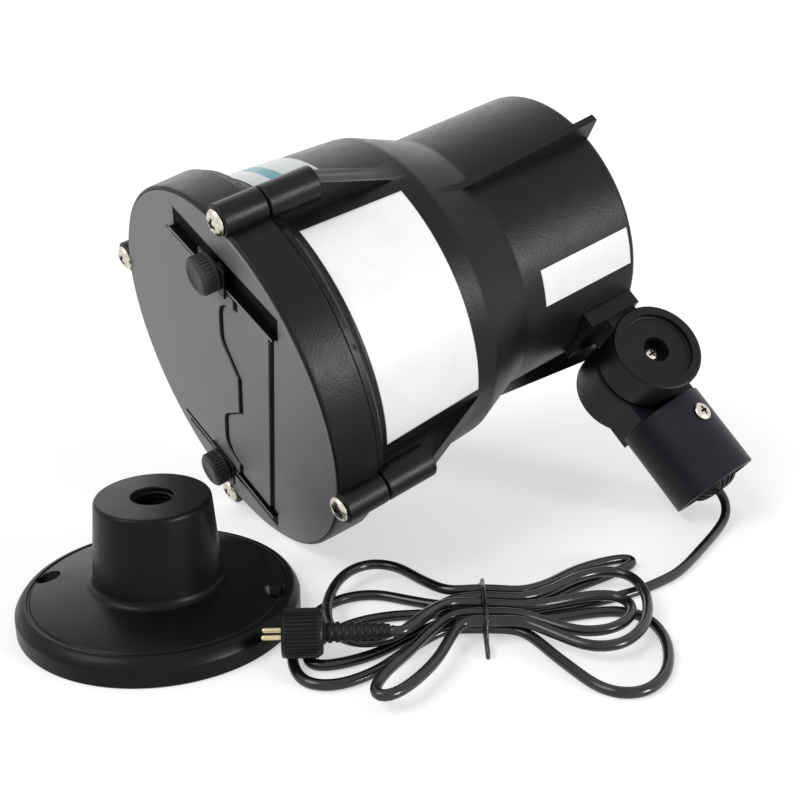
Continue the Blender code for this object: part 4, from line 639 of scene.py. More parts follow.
def solder_mask():
    """Circuit board lacquer over copper: dark green with slightly raised, paler tracks."""
    made, tree, sockets, coords = new_finish("solder_mask", ior=1.5, coat_weight=0.3)
    tracks = add(tree, "ShaderNodeTexBrick", {
        "Vector": coords["Object"], "Scale": 60.0, "Mortar Size": 0.03, "Color1": linear("#0d3a1c"),
        "Color2": linear("#11441f"), "Mortar": linear("#2c7a3c")})
    feed(tree, sockets["Base Color"], tracks)
    feed(tree, sockets["Roughness"], mask(tree, coords["Object"], 8.0, 3.0, 0.5, 0.3, 0.7, 0.3, 0.45))
    feed(tree, sockets["Normal"], add(tree, "ShaderNodeBump", {"Height": tracks.outputs["Fac"],
                                                               "Distance": 0.03 * MM}))
    return made


def etched_film():
    """Clear polyester film with fine lines that split the beam; the lines are drawn at 0.5 mm."""
    made, tree, sockets, coords = new_finish("etched_film", ior=1.57, transmission_weight=0.6)
    lines = add(tree, "ShaderNodeTexWave", {"Vector": coords["Object"], "Scale": 320.0,
                                            "Distortion": 0.4}).outputs["Fac"]
    tone = add(tree, "ShaderNodeMix", {0: lines, 6: linear("#b9c4cc"), 7: linear("#d7dfe4")},
               data_type="RGBA")
    feed(tree, sockets["Base Color"], tone.outputs[2])
    feed(tree, sockets["Roughness"], add(tree, "ShaderNodeMapRange", {"Value": lines, "To Min": 0.05,
                                                                      "To Max": 0.15}))
    return made


FINISHES = {}


def make_finishes():
    """All finishes, under the names that the operators ask for."""
    for key, *values in (
            ("abs", "moulded_abs", "#0d0d0e", "#131314", "#262627", 0.9, 0.09, 0.37, 0.19),
            ("flange_abs", "flange_abs", "#0a0a0a", "#0e0e0f", "#1a1a1b", 1.3, 0.02, 0.33, 0.14),
            ("recess", "painted_shade_abs", "#050505", "#080808", "#101011", 0.9, 0.03, 0.6, 0.05),
            # The recess finish is a darker, duller black: painted shade in channels, shutter gaps and screw
            # recesses
            ("nylon", "blue_black_nylon", "#101017", "#15151e", "#26262f", 0.8, 0.03, 0.40),
            ("thumb", "grey_nylon", "#333334", "#404041", "#525253", 0.7, 0.05, 0.46),
            ("plug", "plug_pvc", "#0e0e0f", "#151516", "#272728", 0.8, 0.03, 0.36),
            ("sleeve", "sleeve_pvc", "#6f6f70", "#7d7d7e", "#8d8d8e", 0.9, 0.02, 0.42),
            ("insert", "insert_pvc", "#3a1512", "#4c1c18", "#5e2a25", 0.8, 0.03, 0.5)):
        FINISHES[key] = moulded_plastic(*values)
    for key, *values in (("screw", "bright_zinc", "#dcd8ca", "#bdb9ac", 0.20),
                         ("zinc", "dull_zinc", "#b4b6b9", "#8b8d90", 0.32),
                         ("aluminium", "bare_aluminium", "#d5d6d8", "#b4b6b8", 0.34),
                         ("brass", "brass", "#e3bd72", "#b98f45", 0.2),
                         ("pins", "tinned_brass", "#d8cba4", "#b8a982", 0.24)):
        FINISHES[key] = plated_steel(*values)
    FINISHES.update({"plate": anodised_plate(), "rubber": nitrile_rubber(), "cord": cable_jacket(),
                     "label": coated_paper(), "foil": foil_sticker(), "glass": float_glass(),
                     "board": solder_mask(), "film": etched_film()})


# Sizes and colours that a user would change

class ProjectorValues(bpy.types.PropertyGroup):
    """Edges and repeated details of the projector."""
    edge: FloatProperty(name="Edge radius", description="Rounding of the moulded edges", default=0.0005,
                        min=0.0, max=0.002, unit="LENGTH", precision=5)
    sheet_edge: FloatProperty(name="Sheet edge", description="Rounding of the shutters' and the disc's edges",
                              default=0.0002, min=0.0, max=0.001, unit="LENGTH", precision=5)
    thumb_ribs: IntProperty(name="Thumb screw ribs", description="Ribs round a thumb screw", default=32,
                            min=8, max=60)
    gland_ribs: IntProperty(name="Gland ribs", description="Ribs over the cable gland's dome", default=18,
                            min=6, max=40)


class CordValues(bpy.types.PropertyGroup):
    """Sizes of the cord and its plug."""
    diameter: FloatProperty(name="Cord diameter", description="Outside diameter of the cord",
                            default=2 * CORD_RADIUS * MM, min=0.001, max=0.01, unit="LENGTH", precision=5)
    collar_ribs: IntProperty(name="Collar ribs", description="Ribs round the plug's coupling ring",
                             default=34, min=8, max=60)
    relief_ribs: IntProperty(name="Relief ribs", description="Rings of the strain relief", default=8,
                             min=3, max=14)


class StageValues(bpy.types.PropertyGroup):
    """The camera's lens and the studio light."""
    lens: FloatProperty(name="Focal length", description="Focal length in millimetres", default=54.0,
                        min=10.0, max=200.0)
    key_light: FloatProperty(name="Key light", description="Strength of the lamp at the upper left",
                             default=1.35, min=0.0)
    side_light: FloatProperty(name="Side light", description="Strength of the low lamp on the right",
                              default=2.2, min=0.0)
    back_light: FloatProperty(name="Back light", description="Strength of the lamp behind", default=0.5,
                              min=0.0)
    floor_colour: FloatVectorProperty(name="Floor colour", description="Colour of the floor", size=3,
                                      subtype="COLOR", default=(0.66, 0.66, 0.66), min=0.0, max=1.0)


def barrel_radius(z):
    """Outer radius of the housing at a place along its axis."""
    if z < TAPER_START:
        part = max((z - BARREL_START) / (TAPER_START - BARREL_START), 0.0)
        return BARREL_FRONT_RADIUS + (BARREL_REAR_RADIUS - BARREL_FRONT_RADIUS) * part
    part = min((z - TAPER_START) / (TAPER_END - TAPER_START), 1.0)
    return BARREL_REAR_RADIUS + (REAR_RADIUS - BARREL_REAR_RADIUS) * part


def at_boss(angle):
    """The place of a screw boss at an angle round the cap."""
    return Matrix.Translation(polar(BOSS_REACH, angle)) @ SKEWED


def thumb_bore(side, low, high):
    """The hole for a thumb screw's shank between two heights."""
    return moved(rod(THUMB_HOLE, low, high, 24), SLIDE @ shift(0, side * CLAMP_PLACE, 0))


def round_screw(head, height, shank, length):
    """A pan-headed screw along +Z, with its head's seat at height 0 and a cross recess in its crown."""
    crown = [(head * math.sin(math.radians(a)), -height * math.cos(math.radians(a)) ** 0.8)
             for a in (0, 14, 28, 42, 54, 66, 76, 84)]
    made = raw("screw", turned(crown + [(head, -0.12 * height), (head, 0.0), (shank, 0.0),
                                        (shank, length - shank), (0.0, length)], 40))
    arm, half, floor = head * 0.62, head * 0.14, -height * 0.1
    cuts = []
    for turn in (0, 90):
        bar = block(-arm, arm, -half, half, -height - 1.0, floor)
        for vert in bar.verts:
            if vert.co.z > -height:
                vert.co.x *= 0.6
        cuts.append(moved(bar, spin(turn, "Z")))
    return rounded(combined(made, ("DIFFERENCE", *cuts)), 0.06, 1)


def cross_shade(head, height):
    """A dark piece at the bottom of a screw's cross recess: painted shade."""
    arm, half = 0.5 * head, 0.14 * head
    quarter = [(arm, -half), (arm, half), (half, half)]
    outline = [((x, y), (-y, x), (-x, -y), (y, -x))[turn] for turn in range(4) for x, y in quarter]
    return prism(outline, -0.72 * height, -0.12 * height)


# Operators, one for each piece or group of like pieces

class Piece(bpy.types.Operator):
    """What the operators share"""
    bl_options = {"REGISTER", "UNDO"}


class DETERRENT_OT_cap(Piece):
    """The front cap: a deep ring with four screw bosses and a ledge for the disc"""
    bl_idname = "deterrent.cap"
    bl_label = "Front cap"

    def execute(self, context):
        edge = 1.0
        profile = [(CAP_LEDGE_RADIUS, 0.0), (PLATE_RADIUS + 0.5, 0.0)]
        profile += arc(CAP_FRONT_RADIUS - edge, edge, edge, -90, 0, 4)
        profile += [(CAP_FRONT_RADIUS + 0.1, 2.4), (CAP_REAR_RADIUS - 0.05, CAP_DEPTH - 0.5),
                    (CAP_REAR_RADIUS - 0.5, CAP_DEPTH), (CAP_INNER_RADIUS, CAP_DEPTH),
                    (CAP_INNER_RADIUS, LEDGE_BACK), (CAP_LEDGE_RADIUS, LEDGE_BACK)]
        cap = raw("front_cap_ring", turned(profile, ROUND))
        bosses = [moved(rod(BOSS_RADIUS, -BOSS_FRONT, CAP_DEPTH, 56, 0.7), at_boss(angle))
                  for angle in BOSS_ANGLES]
        holes = [moved(rod(SCREW_HOLE, -5.0, CAP_DEPTH + 5.0, 24), at_boss(angle)) for angle in BOSS_ANGLES]
        recess = rod(PLATE_RADIUS + FIT, -BOSS_FRONT - 4.0, LEDGE_FRONT, ROUND)
        combined(cap, ("UNION", *bosses), ("DIFFERENCE", recess, *holes))
        rounded(cap, 0.5 * context.scene.projector_values.edge / MM)
        placed(cap, "abs", "projector", "black_plastic", "front_cap")
        return {"FINISHED"}


class DETERRENT_OT_cap_screws(Piece):
    """The pan-headed screws in the cap's bosses"""
    bl_idname = "deterrent.cap_screws"
    bl_label = "Cap screws"

    def execute(self, context):
        nodes = ["cap_screw_%d" % (i + 1) for i in range(len(BOSS_ANGLES))]
        for name, shape, finish, replaced in (
                ("cap_screws", as_shape(round_screw(*CAP_SCREW)), "screw", nodes),
                # The second set: dark pieces in the cross recesses, painted shade
                ("cap_screw_recesses", cross_shade(*CAP_SCREW[:2]), "recess", ())):
            made = copies(name, shape, finish, len(BOSS_ANGLES), Radius=BOSS_REACH,
                          Start=math.radians(BOSS_ANGLES[0]), Turn=math.radians(90), Twist=0.7, Seed=5)
            made.data.transform(shift(0, 0, -BOSS_FRONT - FIT))
            placed(made, finish, "projector", "bright_steel", *replaced)
        return {"FINISHED"}


class DETERRENT_OT_disc(Piece):
    """The front disc with its window, the guides and rails let into it, and a black bar of painted shadow
    beside the lower shutter
    """
    bl_idname = "deterrent.disc"
    bl_label = "Front disc and guides"

    def execute(self, context):
        guide_top = PLATE_FACE + 0.5
        disc = raw("front_disc", turned([(0.0, PLATE_FACE), (PLATE_RADIUS - 0.4, PLATE_FACE),
                                         (PLATE_RADIUS, PLATE_FACE + 0.4), (PLATE_RADIUS, PLATE_BACK),
                                         (0.0, PLATE_BACK)], ROUND))
        cuts = [slab(-WINDOW_SHORT / 2, WINDOW_SHORT / 2, -WINDOW_LONG / 2, WINDOW_LONG / 2,
                     PLATE_FACE - 2.0, PLATE_BACK + 2.0)]
        for side, name in SIDES:
            middle = side * CHANNEL_PLACE
            reach = CHANNEL_WIDTH / 2 + FIT
            cuts += [slab(-RAIL_LOW - FIT, RAIL_HIGH + FIT, middle - reach, middle + reach,
                          PLATE_FACE - 1.0, PLATE_FACE + 1.5),
                     thumb_bore(side, PLATE_FACE - 1.0, PLATE_BACK + 1.0)]
            low, high = middle - CHANNEL_WIDTH / 2, middle + CHANNEL_WIDTH / 2
            # The guide takes the very dark recess finish: painted shade of the channel it lies in
            guide = raw("guide_" + name, slab(-RAIL_LOW, RAIL_HIGH, low, high, guide_top, PLATE_FACE + 1.2))
            combined(guide, ("DIFFERENCE", thumb_bore(side, PLATE_FACE - 2.0, PLATE_BACK + 2.0)))
            rounded(guide, 0.15)
            placed(guide, "recess", "projector", "black_plastic", "shutter_guide_" + name)
            inner, outer = sorted(side * (RAIL_PLACE + half) for half in (-RAIL_WIDTH / 2, RAIL_WIDTH / 2))
            # The rail's lower part takes the very dark recess finish, painted shade on its sides; its top
            # strip takes the disc's grey
            for part, finish, slot, low, high in (("rail_", "recess", "black_plastic", RAIL_STEP, guide_top),
                                                  ("rail_cap_", "plate", "grey_satin", RAIL_TOP, RAIL_STEP)):
                rail = raw(part + name, slab(-RAIL_LOW, RAIL_HIGH, inner, outer, low, high))
                placed(rounded(rail, 0.05, 1), finish, "projector", slot)
        # A slot in the disc holds a black bar at the lower shutter's end: painted shadow of the shutter's
        # edge
        cuts.append(slab(BAR_PLACE - 0.1, BAR_PLACE + BAR_WIDTH + 0.1, -SHUTTER_HALF, SHUTTER_HALF,
                         PLATE_FACE - 1.0, PLATE_FACE + 0.6))
        bar = raw("shutter_shadow_bar", slab(BAR_PLACE, BAR_PLACE + BAR_WIDTH, -SHUTTER_HALF, SHUTTER_HALF,
                                    PLATE_FACE - 0.15, guide_top))
        placed(rounded(bar, 0.1, 1), "recess", "projector", "black_plastic")
        combined(disc, ("DIFFERENCE", *cuts))
        rounded(disc, context.scene.projector_values.sheet_edge / MM)
        placed(disc, "plate", "projector", "grey_satin", "front_plate")
        return {"FINISHED"}


class DETERRENT_OT_shutters(Piece):
    """The two sheet shutters that slide across the window, and a dark sheet under the upper one that paints
    the shadow of its edge
    """
    bl_idname = "deterrent.shutters"
    bl_label = "Shutters"

    def execute(self, context):
        lower = raw("shutter_sheet_lower", slab(-22.0, 35.5, -SHUTTER_HALF, SHUTTER_HALF, LOWER_TOP,
                                                LOWER_TOP + SHUTTER_THICK))
        half = [(14.0, 0.0), (14.0, 11.0)] + arc(13.0, 10.5, 1.0, 0, 90, 3)[1:]
        half += arc(12.5, 28.0, 11.0, 228, 180, 8)
        half += arc(12.5, 38.0, 11.0, 180, 90, 14)
        half += [(12.5, SHUTTER_HALF), (-38.0, SHUTTER_HALF)]
        outline = half + [(x, -y) for x, y in reversed(half) if y > 0.0]
        upper = raw("shutter_sheet_upper", moved(prism(outline, UPPER_TOP, UPPER_TOP + SHUTTER_THICK), SLIDE))
        # A dark sheet a little wider than the upper shutter, under it: painted shadow along its edge
        wider = [(x + SHADOW_MARGIN if x > 0.0 else x, y) for x, y in outline]
        shadow_sheet = raw("shutter_shadow_sheet", moved(prism(wider, LOWER_TOP - 0.26, LOWER_TOP - 0.06), SLIDE))
        placed(shadow_sheet, "recess", "upper_slide", "black_plastic")
        for made, place in ((lower, "lower"), (upper, "upper")):
            rounded(made, context.scene.projector_values.sheet_edge / MM)
            placed(made, "plate", place + "_slide", "grey_satin", place + "_shutter")
        return {"FINISHED"}


class DETERRENT_OT_thumb_screws(Piece):
    """The knurled thumb screws and the small clamps under them"""
    bl_idname = "deterrent.thumb_screws"
    bl_label = "Thumb screws and clamps"

    def execute(self, context):
        count = context.scene.projector_values.thumb_ribs
        low = CLAMP_TOP - FIT
        core = THUMB_RADIUS - 0.55
        shank = 1.9
        for side, name in SIDES:
            head = raw("head", turned([
                (0.0, THUMB_TOP + 0.5), (4.2, THUMB_TOP + 0.45), (5.0, THUMB_TOP),
                (core - 1.0, THUMB_TOP + 0.1), (core - 0.2, THUMB_TOP + 0.6), (core, THUMB_TOP + 1.2),
                (core, low - 1.4), (THUMB_RADIUS, low - 1.2), (THUMB_RADIUS, low - 0.3),
                (THUMB_RADIUS - 0.3, low), (shank, low), (shank, PLATE_BACK), (0.0, PLATE_BACK)], 72))
            ridge = rib(core, THUMB_RADIUS, (-0.6, 0.5), (0.1, 0.48), 0.16, THUMB_TOP + 0.9, low - 1.3)
            for vert in ridge.verts:
                if vert.co.z < THUMB_TOP + 1.0 and vert.co.x > core:
                    vert.co.z += 0.5
            ribs = copies("ribs", ridge, "thumb", count, Turn=2 * math.pi / count)
            screw = raw("thumb_%s_knob" % name, as_shape(head, ribs))
            screw.data.transform(SLIDE @ shift(0, side * CLAMP_PLACE, 0))
            placed(screw, "thumb", name + "_thumb", "thumb_plastic", "thumb_screw_" + name)
            middle = side * (CLAMP_PLACE - 1.0)
            clamp = raw("clamp_" + name, slab(-9.0, 9.0, middle - 7.0, middle + 7.0, CLAMP_TOP,
                                              CLAMP_TOP + CLAMP_THICK))
            combined(clamp, ("DIFFERENCE", thumb_bore(side, CLAMP_TOP - 1.0, CLAMP_TOP + CLAMP_THICK + 1.0)))
            rounded(clamp, 0.3, 3)
            placed(clamp, "abs", "projector", "black_plastic", "shutter_clamp_" + name)
        return {"FINISHED"}


class DETERRENT_OT_window(Piece):
    """The glass behind the disc"""
    bl_idname = "deterrent.window"
    bl_label = "Window glass"

    def execute(self, context):
        low = PLATE_BACK + 1.0 + 2 * FIT
        glass = raw("glass_pane", slab(-WINDOW_SHORT / 2 - 6.0, WINDOW_SHORT / 2 + 6.0,
                                       -WINDOW_LONG / 2 - 6.0, WINDOW_LONG / 2 + 6.0, low, LEDGE_BACK))
        placed(rounded(glass, 0.3), "glass", "projector", "glass", "window_glass")
        return {"FINISHED"}


class DETERRENT_OT_housing(Piece):
    """The housing: barrel, taper and rear in one moulding with bosses, ramps and fins"""
    bl_idname = "deterrent.housing"
    bl_label = "Housing"

    def execute(self, context):
        wall = 3.0
        rear = HOUSING_LENGTH
        front = BARREL_FRONT_RADIUS - wall
        profile = [
            (front, HOUSING_FRONT), (FLANGE_RADIUS - 0.4, HOUSING_FRONT),
            (FLANGE_RADIUS, HOUSING_FRONT + 0.4), (FLANGE_RADIUS, HOUSING_FRONT + 2.8),
            (FLANGE_RADIUS - 0.4, HOUSING_FRONT + 3.2),
            (FLANGE_RADIUS - 3.2, BARREL_START - 2.6), (FLANGE_RADIUS - 4.6, BARREL_START - 1.7),
            (BARREL_FRONT_RADIUS + 0.3, BARREL_START - 0.2), (BARREL_FRONT_RADIUS, BARREL_START + 0.6),
            (BARREL_REAR_RADIUS + 0.05, TAPER_START - 1.4), (BARREL_REAR_RADIUS - 0.35, TAPER_START + 1.0),
            (REAR_RADIUS + 0.55, TAPER_END - 1.4), (REAR_RADIUS, TAPER_END + 1.2)]
        profile += arc(REAR_RADIUS - 3.0, rear - 3.0, 3.0, 0, 90, 6)
        profile += [(0.0, rear), (0.0, rear - wall), (REAR_RADIUS - wall, rear - wall),
                    (REAR_RADIUS - wall, TAPER_END), (BARREL_REAR_RADIUS - wall, TAPER_START),
                    (front, BARREL_START)]
        housing = raw("housing_shell", turned(profile, ROUND))
        joins = []
        holes = []
        ramp_top = -(BOSS_REACH + BOSS_RADIUS - 1.5)
        ramp_foot = -barrel_radius(RAMP_END)
        ramp = [(BOSS_LENGTH - 6.0, ramp_top), (RAMP_END, ramp_foot + 0.5), (RAMP_END, ramp_foot + 2.0),
                (HOUSING_FRONT + 2.0, -BARREL_FRONT_RADIUS + 2.0), (HOUSING_FRONT + 2.0, -BOSS_REACH)]
        for angle in BOSS_ANGLES:
            joins.append(moved(rod(BOSS_RADIUS, HOUSING_FRONT, BOSS_LENGTH, 56, 0.8), at_boss(angle)))
            joins.append(moved(prism(ramp, -RAMP_WIDTH / 2, RAMP_WIDTH / 2), spin(angle, "Z") @ RADIAL))
            holes.append(moved(rod(SCREW_HOLE, HOUSING_FRONT - 2.0, 30.0, 24), at_boss(angle)))
        tip = REAR_RADIUS + FIN_HEIGHT
        fin = [(FIN_START, -barrel_radius(FIN_START) + 1.0), (rear - 0.5, -tip), (rear, -tip + 0.5),
               (rear, -REAR_RADIUS + 4.0), (rear - 6.0, -REAR_RADIUS + 1.0), (TAPER_END, -REAR_RADIUS + 1.0)]
        for angle in FIN_ANGLES:
            joins.append(moved(prism(fin, -FIN_THICK / 2, FIN_THICK / 2), spin(angle, "Z") @ RADIAL))
        entry = moved(rod(4.5, REAR_RADIUS - 10.0, REAR_RADIUS + 10.0, 32),
                      shift(0, -KNUCKLE_HALF / 2, 160.0) @ ALONG_X)
        seal_low, seal_high = HOUSING_FRONT - 2.0, HOUSING_FRONT + 1.6
        groove = turned([(77.1, seal_low), (79.3, seal_low), (79.3, seal_high), (77.1, seal_high)], ROUND)
        combined(housing, ("UNION", *joins), ("DIFFERENCE", entry, groove, *holes))
        rounded(housing, context.scene.projector_values.edge / MM)
        placed(housing, "abs", "projector", "black_plastic", "housing")
        return {"FINISHED"}


def label_sheet(name, start, end, low, high, thick):
    """A thin sheet that follows the housing, with a UV map over its outline."""
    steps, rows = max(6, round((end - start) / 1.5)), 8
    shape = bmesh.new()
    layer = shape.loops.layers.uv.new("UVMap")
    skins, where = [], {}
    for lift in (0.1, 0.1 + thick):
        skin = []
        for j in range(rows + 1):
            z = low + (high - low) * j / rows
            row = []
            for i in range(steps + 1):
                inset = 0.04 if lift > 0.1 and (i in (0, steps) or j in (0, rows)) else 0.0
                around = start + (end - start) * i / steps
                vert = shape.verts.new(polar(barrel_radius(z) + lift - inset, around, z))
                where[vert] = (i / steps, j / rows)
                row.append(vert)
            skin.append(row)
        skins.append(skin)
    inner, outer = skins
    for j in range(rows):
        for i in range(steps):
            for skin in skins:
                shape.faces.new((skin[j][i], skin[j][i + 1], skin[j + 1][i + 1], skin[j + 1][i]))
    for j in (0, rows):
        for i in range(steps):
            shape.faces.new((inner[j][i], inner[j][i + 1], outer[j][i + 1], outer[j][i]))
    for i in (0, steps):
        for j in range(rows):
            shape.faces.new((inner[j][i], inner[j + 1][i], outer[j + 1][i], outer[j][i]))
    bmesh.ops.recalc_face_normals(shape, faces=shape.faces)
    for face in shape.faces:
        for loop in face.loops:
            loop[layer].uv = where[loop.vert]
    return raw(name, shape)


class DETERRENT_OT_labels(Piece):
    """The two bare white labels and the silver sticker on the housing"""
    bl_idname = "deterrent.labels"
    bl_label = "Labels"

    def execute(self, context):
        for name, reaches, thick, finish, slot, node in (
                ("label_side", SIDE_LABEL, 0.2, "label", "white_label", "side_label"),
                ("label_rear", REAR_LABEL, 0.2, "label", "white_label", "rear_label"),
                ("sticker_top", TOP_STICKER, 0.15, "foil", "silver_label", "top_sticker")):
            placed(label_sheet(name, *reaches, thick), finish, "projector", slot, node)
        return {"FINISHED"}


class DETERRENT_OT_bracket(Piece):
    """The near knuckle half on the housing, with its stepped face, neck and saddle foot"""
    bl_idname = "deterrent.bracket"
    bl_label = "Knuckle bracket"

    def execute(self, context):
        disc = moved(rod(KNUCKLE_RADIUS, HALF_GAP, KNUCKLE_HALF, 120, 1.0), KNUCKLE)
        bracket = raw("knuckle_bracket", disc)
        inner = REAR_RADIUS + FIT
        neck = block(inner - 4.0, KNUCKLE_REACH - 6.0, -KNUCKLE_HALF + 1.0, -HALF_GAP,
                     KNUCKLE_PLACE - 13.0, 175.8)
        foot = block(inner - 8.0, inner + 3.0, -22.0, 8.0, 148.0, 177.0)
        barrel = rod(inner, 143.0, 197.0, ROUND)
        recess = moved(turned([
            (0.0, KNUCKLE_HALF - 2.4), (15.6, KNUCKLE_HALF - 2.4), (16.4, KNUCKLE_HALF - 2.0),
            (16.8, KNUCKLE_HALF), (16.8, KNUCKLE_HALF + 5.0), (0.0, KNUCKLE_HALF + 5.0)], 96), KNUCKLE)
        well = moved(rod(6.2, KNUCKLE_HALF - PIVOT_WELL, KNUCKLE_HALF, 48), KNUCKLE)
        bore = moved(rod(PIVOT_HOLE, -5.0, KNUCKLE_HALF, 32), KNUCKLE)
        combined(bracket, ("UNION", neck, foot), ("DIFFERENCE", barrel, recess, well, bore))
        rounded(bracket, 0.8 * context.scene.projector_values.edge / MM)
        placed(bracket, "abs", "projector", "black_plastic", "pivot_bracket")
        return {"FINISHED"}


class DETERRENT_OT_socket_arm(Piece):
    """The far knuckle half and the pipe socket in one moulding"""
    bl_idname = "deterrent.socket_arm"
    bl_label = "Socket arm"

    def execute(self, context):
        disc = moved(rod(KNUCKLE_RADIUS + 0.3, -ARM_DEPTH, -HALF_GAP, 120, 1.0), KNUCKLE)
        arm = raw("pipe_socket_arm", disc)
        neck = block(KNUCKLE_REACH, KNUCKLE_REACH + SOCKET_START + 3.0, HALF_GAP, ARM_DEPTH - 1.5,
                     KNUCKLE_PLACE - SOCKET_RADIUS + 3.1, KNUCKLE_PLACE + SOCKET_RADIUS - 3.1)
        barrel = moved(rod(SOCKET_RADIUS, SOCKET_START, SOCKET_LENGTH, 120, 0.6), SOCKET)
        bore = moved(rod(SOCKET_BORE, 27.0, SOCKET_LENGTH + 5.0, 120), SOCKET)
        shank = moved(rod(PIVOT_HOLE, -ARM_DEPTH - 2.0, 2.0, 32), KNUCKLE)
        pocket = moved(prism(arc(0, 0, 5.3, 0, 300, 5), -ARM_DEPTH - 2.0, -ARM_DEPTH + 5.3), KNUCKLE)
        thread = moved(rod(2.45, SOCKET_BORE - 2.0, SOCKET_RADIUS + 3.0, 32), SET_SCREW_SEAT)
        combined(arm, ("UNION", neck, barrel), ("DIFFERENCE", bore, shank, pocket, thread))
        rounded(arm, 0.8 * context.scene.projector_values.edge / MM)
        placed(arm, "nylon", "mount", "blue_black", "socket_arm")
        return {"FINISHED"}


class DETERRENT_OT_knuckle_screws(Piece):
    """The knuckle's pivot screw and the set screw in the pipe socket"""
    bl_idname = "deterrent.knuckle_screws"
    bl_label = "Knuckle screws"

    def execute(self, context):
        for name, node, sizes, seat, height in (
                ("knuckle_pivot", "pivot_screw", PIVOT_SCREW, KNUCKLE, KNUCKLE_HALF - PIVOT_WELL + FIT),
                ("socket_set_screw", "set_screw", SET_SCREW, SET_SCREW_SEAT, SOCKET_RADIUS + FIT)):
            place = LYING @ (seat @ shift(0, 0, height) @ spin(180, "X"))
            made = round_screw(*sizes)
            made.name = name
            placed(made, "screw", "mount", "bright_steel", node, place=place)
            # A dark piece in the cross recess: painted shade
            recess = raw(name + "_recess", cross_shade(*sizes[:2]))
            placed(recess, "recess", "mount", "bright_steel", place=place)
        return {"FINISHED"}


class DETERRENT_OT_gland(Piece):
    """The sleeve in the socket's mouth, the cable gland and its ribbed dome nut"""
    bl_idname = "deterrent.gland"
    bl_label = "Cable gland"

    def execute(self, context):
        mouth = SOCKET_LENGTH - 1.6
        outer = SOCKET_BORE - FIT
        liner = raw("socket_sleeve", moved(turned([
            (outer - 1.2, mouth - 24.0), (outer, mouth - 24.0), (outer, mouth - 0.4), (outer - 0.4, mouth),
            (outer - 0.8, mouth), (outer - 1.2, mouth - 0.4)], 120), SOCKET))
        placed(liner, "sleeve", "mount", "liner_grey", "socket_liner")
        top = NUT_LOW - FIT
        hole = CORD_RADIUS + FIT
        body = raw("gland_core", moved(turned([
            (hole, top - 22.0), (12.0, top - 22.0), (12.0, top - 7.0), (15.0, top - 7.0), (15.0, top - 2.4),
            (14.6, top - 2.0), (12.0, top - 2.0), (12.0, top), (hole, top)], 96), SOCKET))
        placed(body, "abs", "mount", "black_plastic", "gland_body")
        core = GLAND_NUT_RADIUS - 0.6
        crown = []
        for step in range(7):
            turn = math.radians(90 * step / 6)
            out, up = (GLAND_NUT_RADIUS - 5.0) * math.cos(turn), 5.4 * math.sin(turn)
            crown.append((4.4 + out, NUT_LOW + 3.0 + up))
        nut = raw("nut", turned([(hole, NUT_LOW), (core, NUT_LOW), (core, NUT_LOW + 3.0), *crown[1:],
                                 (3.2, NUT_LOW + 8.4), (hole, NUT_LOW + 8.0)], 96))
        line = [(GLAND_NUT_RADIUS - 0.9, NUT_LOW + 0.3), (GLAND_NUT_RADIUS, NUT_LOW + 0.5)]
        line += [(radius + 0.55 * math.cos(math.radians(15 * i)), z + 0.55 * math.sin(math.radians(15 * i)))
                 for i, (radius, z) in enumerate(crown)]
        line += [(4.2, NUT_LOW + 8.1)] + [(radius - 0.5, z - 0.5) for radius, z in reversed(crown)]
        ridge = moved(prism([(z, -radius) for radius, z in line], -0.55, 0.55), RADIAL)
        count = context.scene.projector_values.gland_ribs
        ribs = copies("ribs", ridge, "abs", count, Turn=2 * math.pi / count)
        dressed = raw("gland_dome_nut", as_shape(nut, ribs))
        dressed.data.transform(SOCKET)
        placed(dressed, "abs", "gland_turn", "black_plastic", "gland_nut")
        return {"FINISHED"}


class DETERRENT_OT_flange(Piece):
    """The wall flange with its hub, screw holes and the thread in its hole"""
    bl_idname = "deterrent.flange"
    bl_label = "Wall flange"

    def execute(self, context):
        profile = [(0.0, 0.0)] + [(FLANGE_BASE - inwards, height) for inwards, height in FLANGE_RIM]
        profile += [(40.0, 13.4)] + [(HUB_FOOT_RADIUS + outwards, height) for outwards, height in HUB_FOOT]
        profile += [(HUB_TOP_RADIUS + 0.1, HUB_HEIGHT - 1.9)]
        profile += arc(HUB_TOP_RADIUS - 1.5, HUB_HEIGHT - 1.5, 1.5, 0, 90, 4)
        flange = raw("flange_foot_and_hub", turned(profile + [(0.0, HUB_HEIGHT)], ROUND))
        bottom = HUB_HEIGHT - HUB_HOLE_DEPTH
        cuts = [turned([(0.0, bottom), (HUB_HOLE_RADIUS, bottom), (HUB_HOLE_RADIUS, HUB_HEIGHT - 0.4),
                        (HUB_HOLE_RADIUS + 0.5, HUB_HEIGHT + 0.1), (HUB_HOLE_RADIUS + 0.5, HUB_HEIGHT + 5.0),
                        (0.0, HUB_HEIGHT + 5.0)], 96)]
        for angle in FLANGE_HOLES:
            at = Matrix.Translation(polar(45.6, angle))
            cuts.append(moved(rod(2.7, -5.0, 20.0, 32), at))
            seat = turned([(0.0, 8.0), (3.5, 8.6), (5.0, 11.6), (5.0, 20.0), (0.0, 20.0)], 40)
            cuts.append(moved(seat, at))
        combined(flange, ("DIFFERENCE", *cuts))
        rounded(flange, 0.35)
        valley, crest = HUB_HOLE_RADIUS + 0.3, HUB_HOLE_RADIUS - 0.9
        ring = turned([(valley, -0.8), (valley, 0.8), (crest, 0.15), (crest, -0.15)], 72)
        moved(ring, shift(0, 0, HUB_HEIGHT - 2.4))
        thread = copies("thread", ring, "flange_abs", 12, Shift=-THREAD_PITCH)
        both = raw("flange_body", as_shape(flange, thread))
        placed(both, "flange_abs", "mount", "black_plastic", "wall_flange", place=GROUND)
        return {"FINISHED"}


# The cord's route, with the same points as its solids

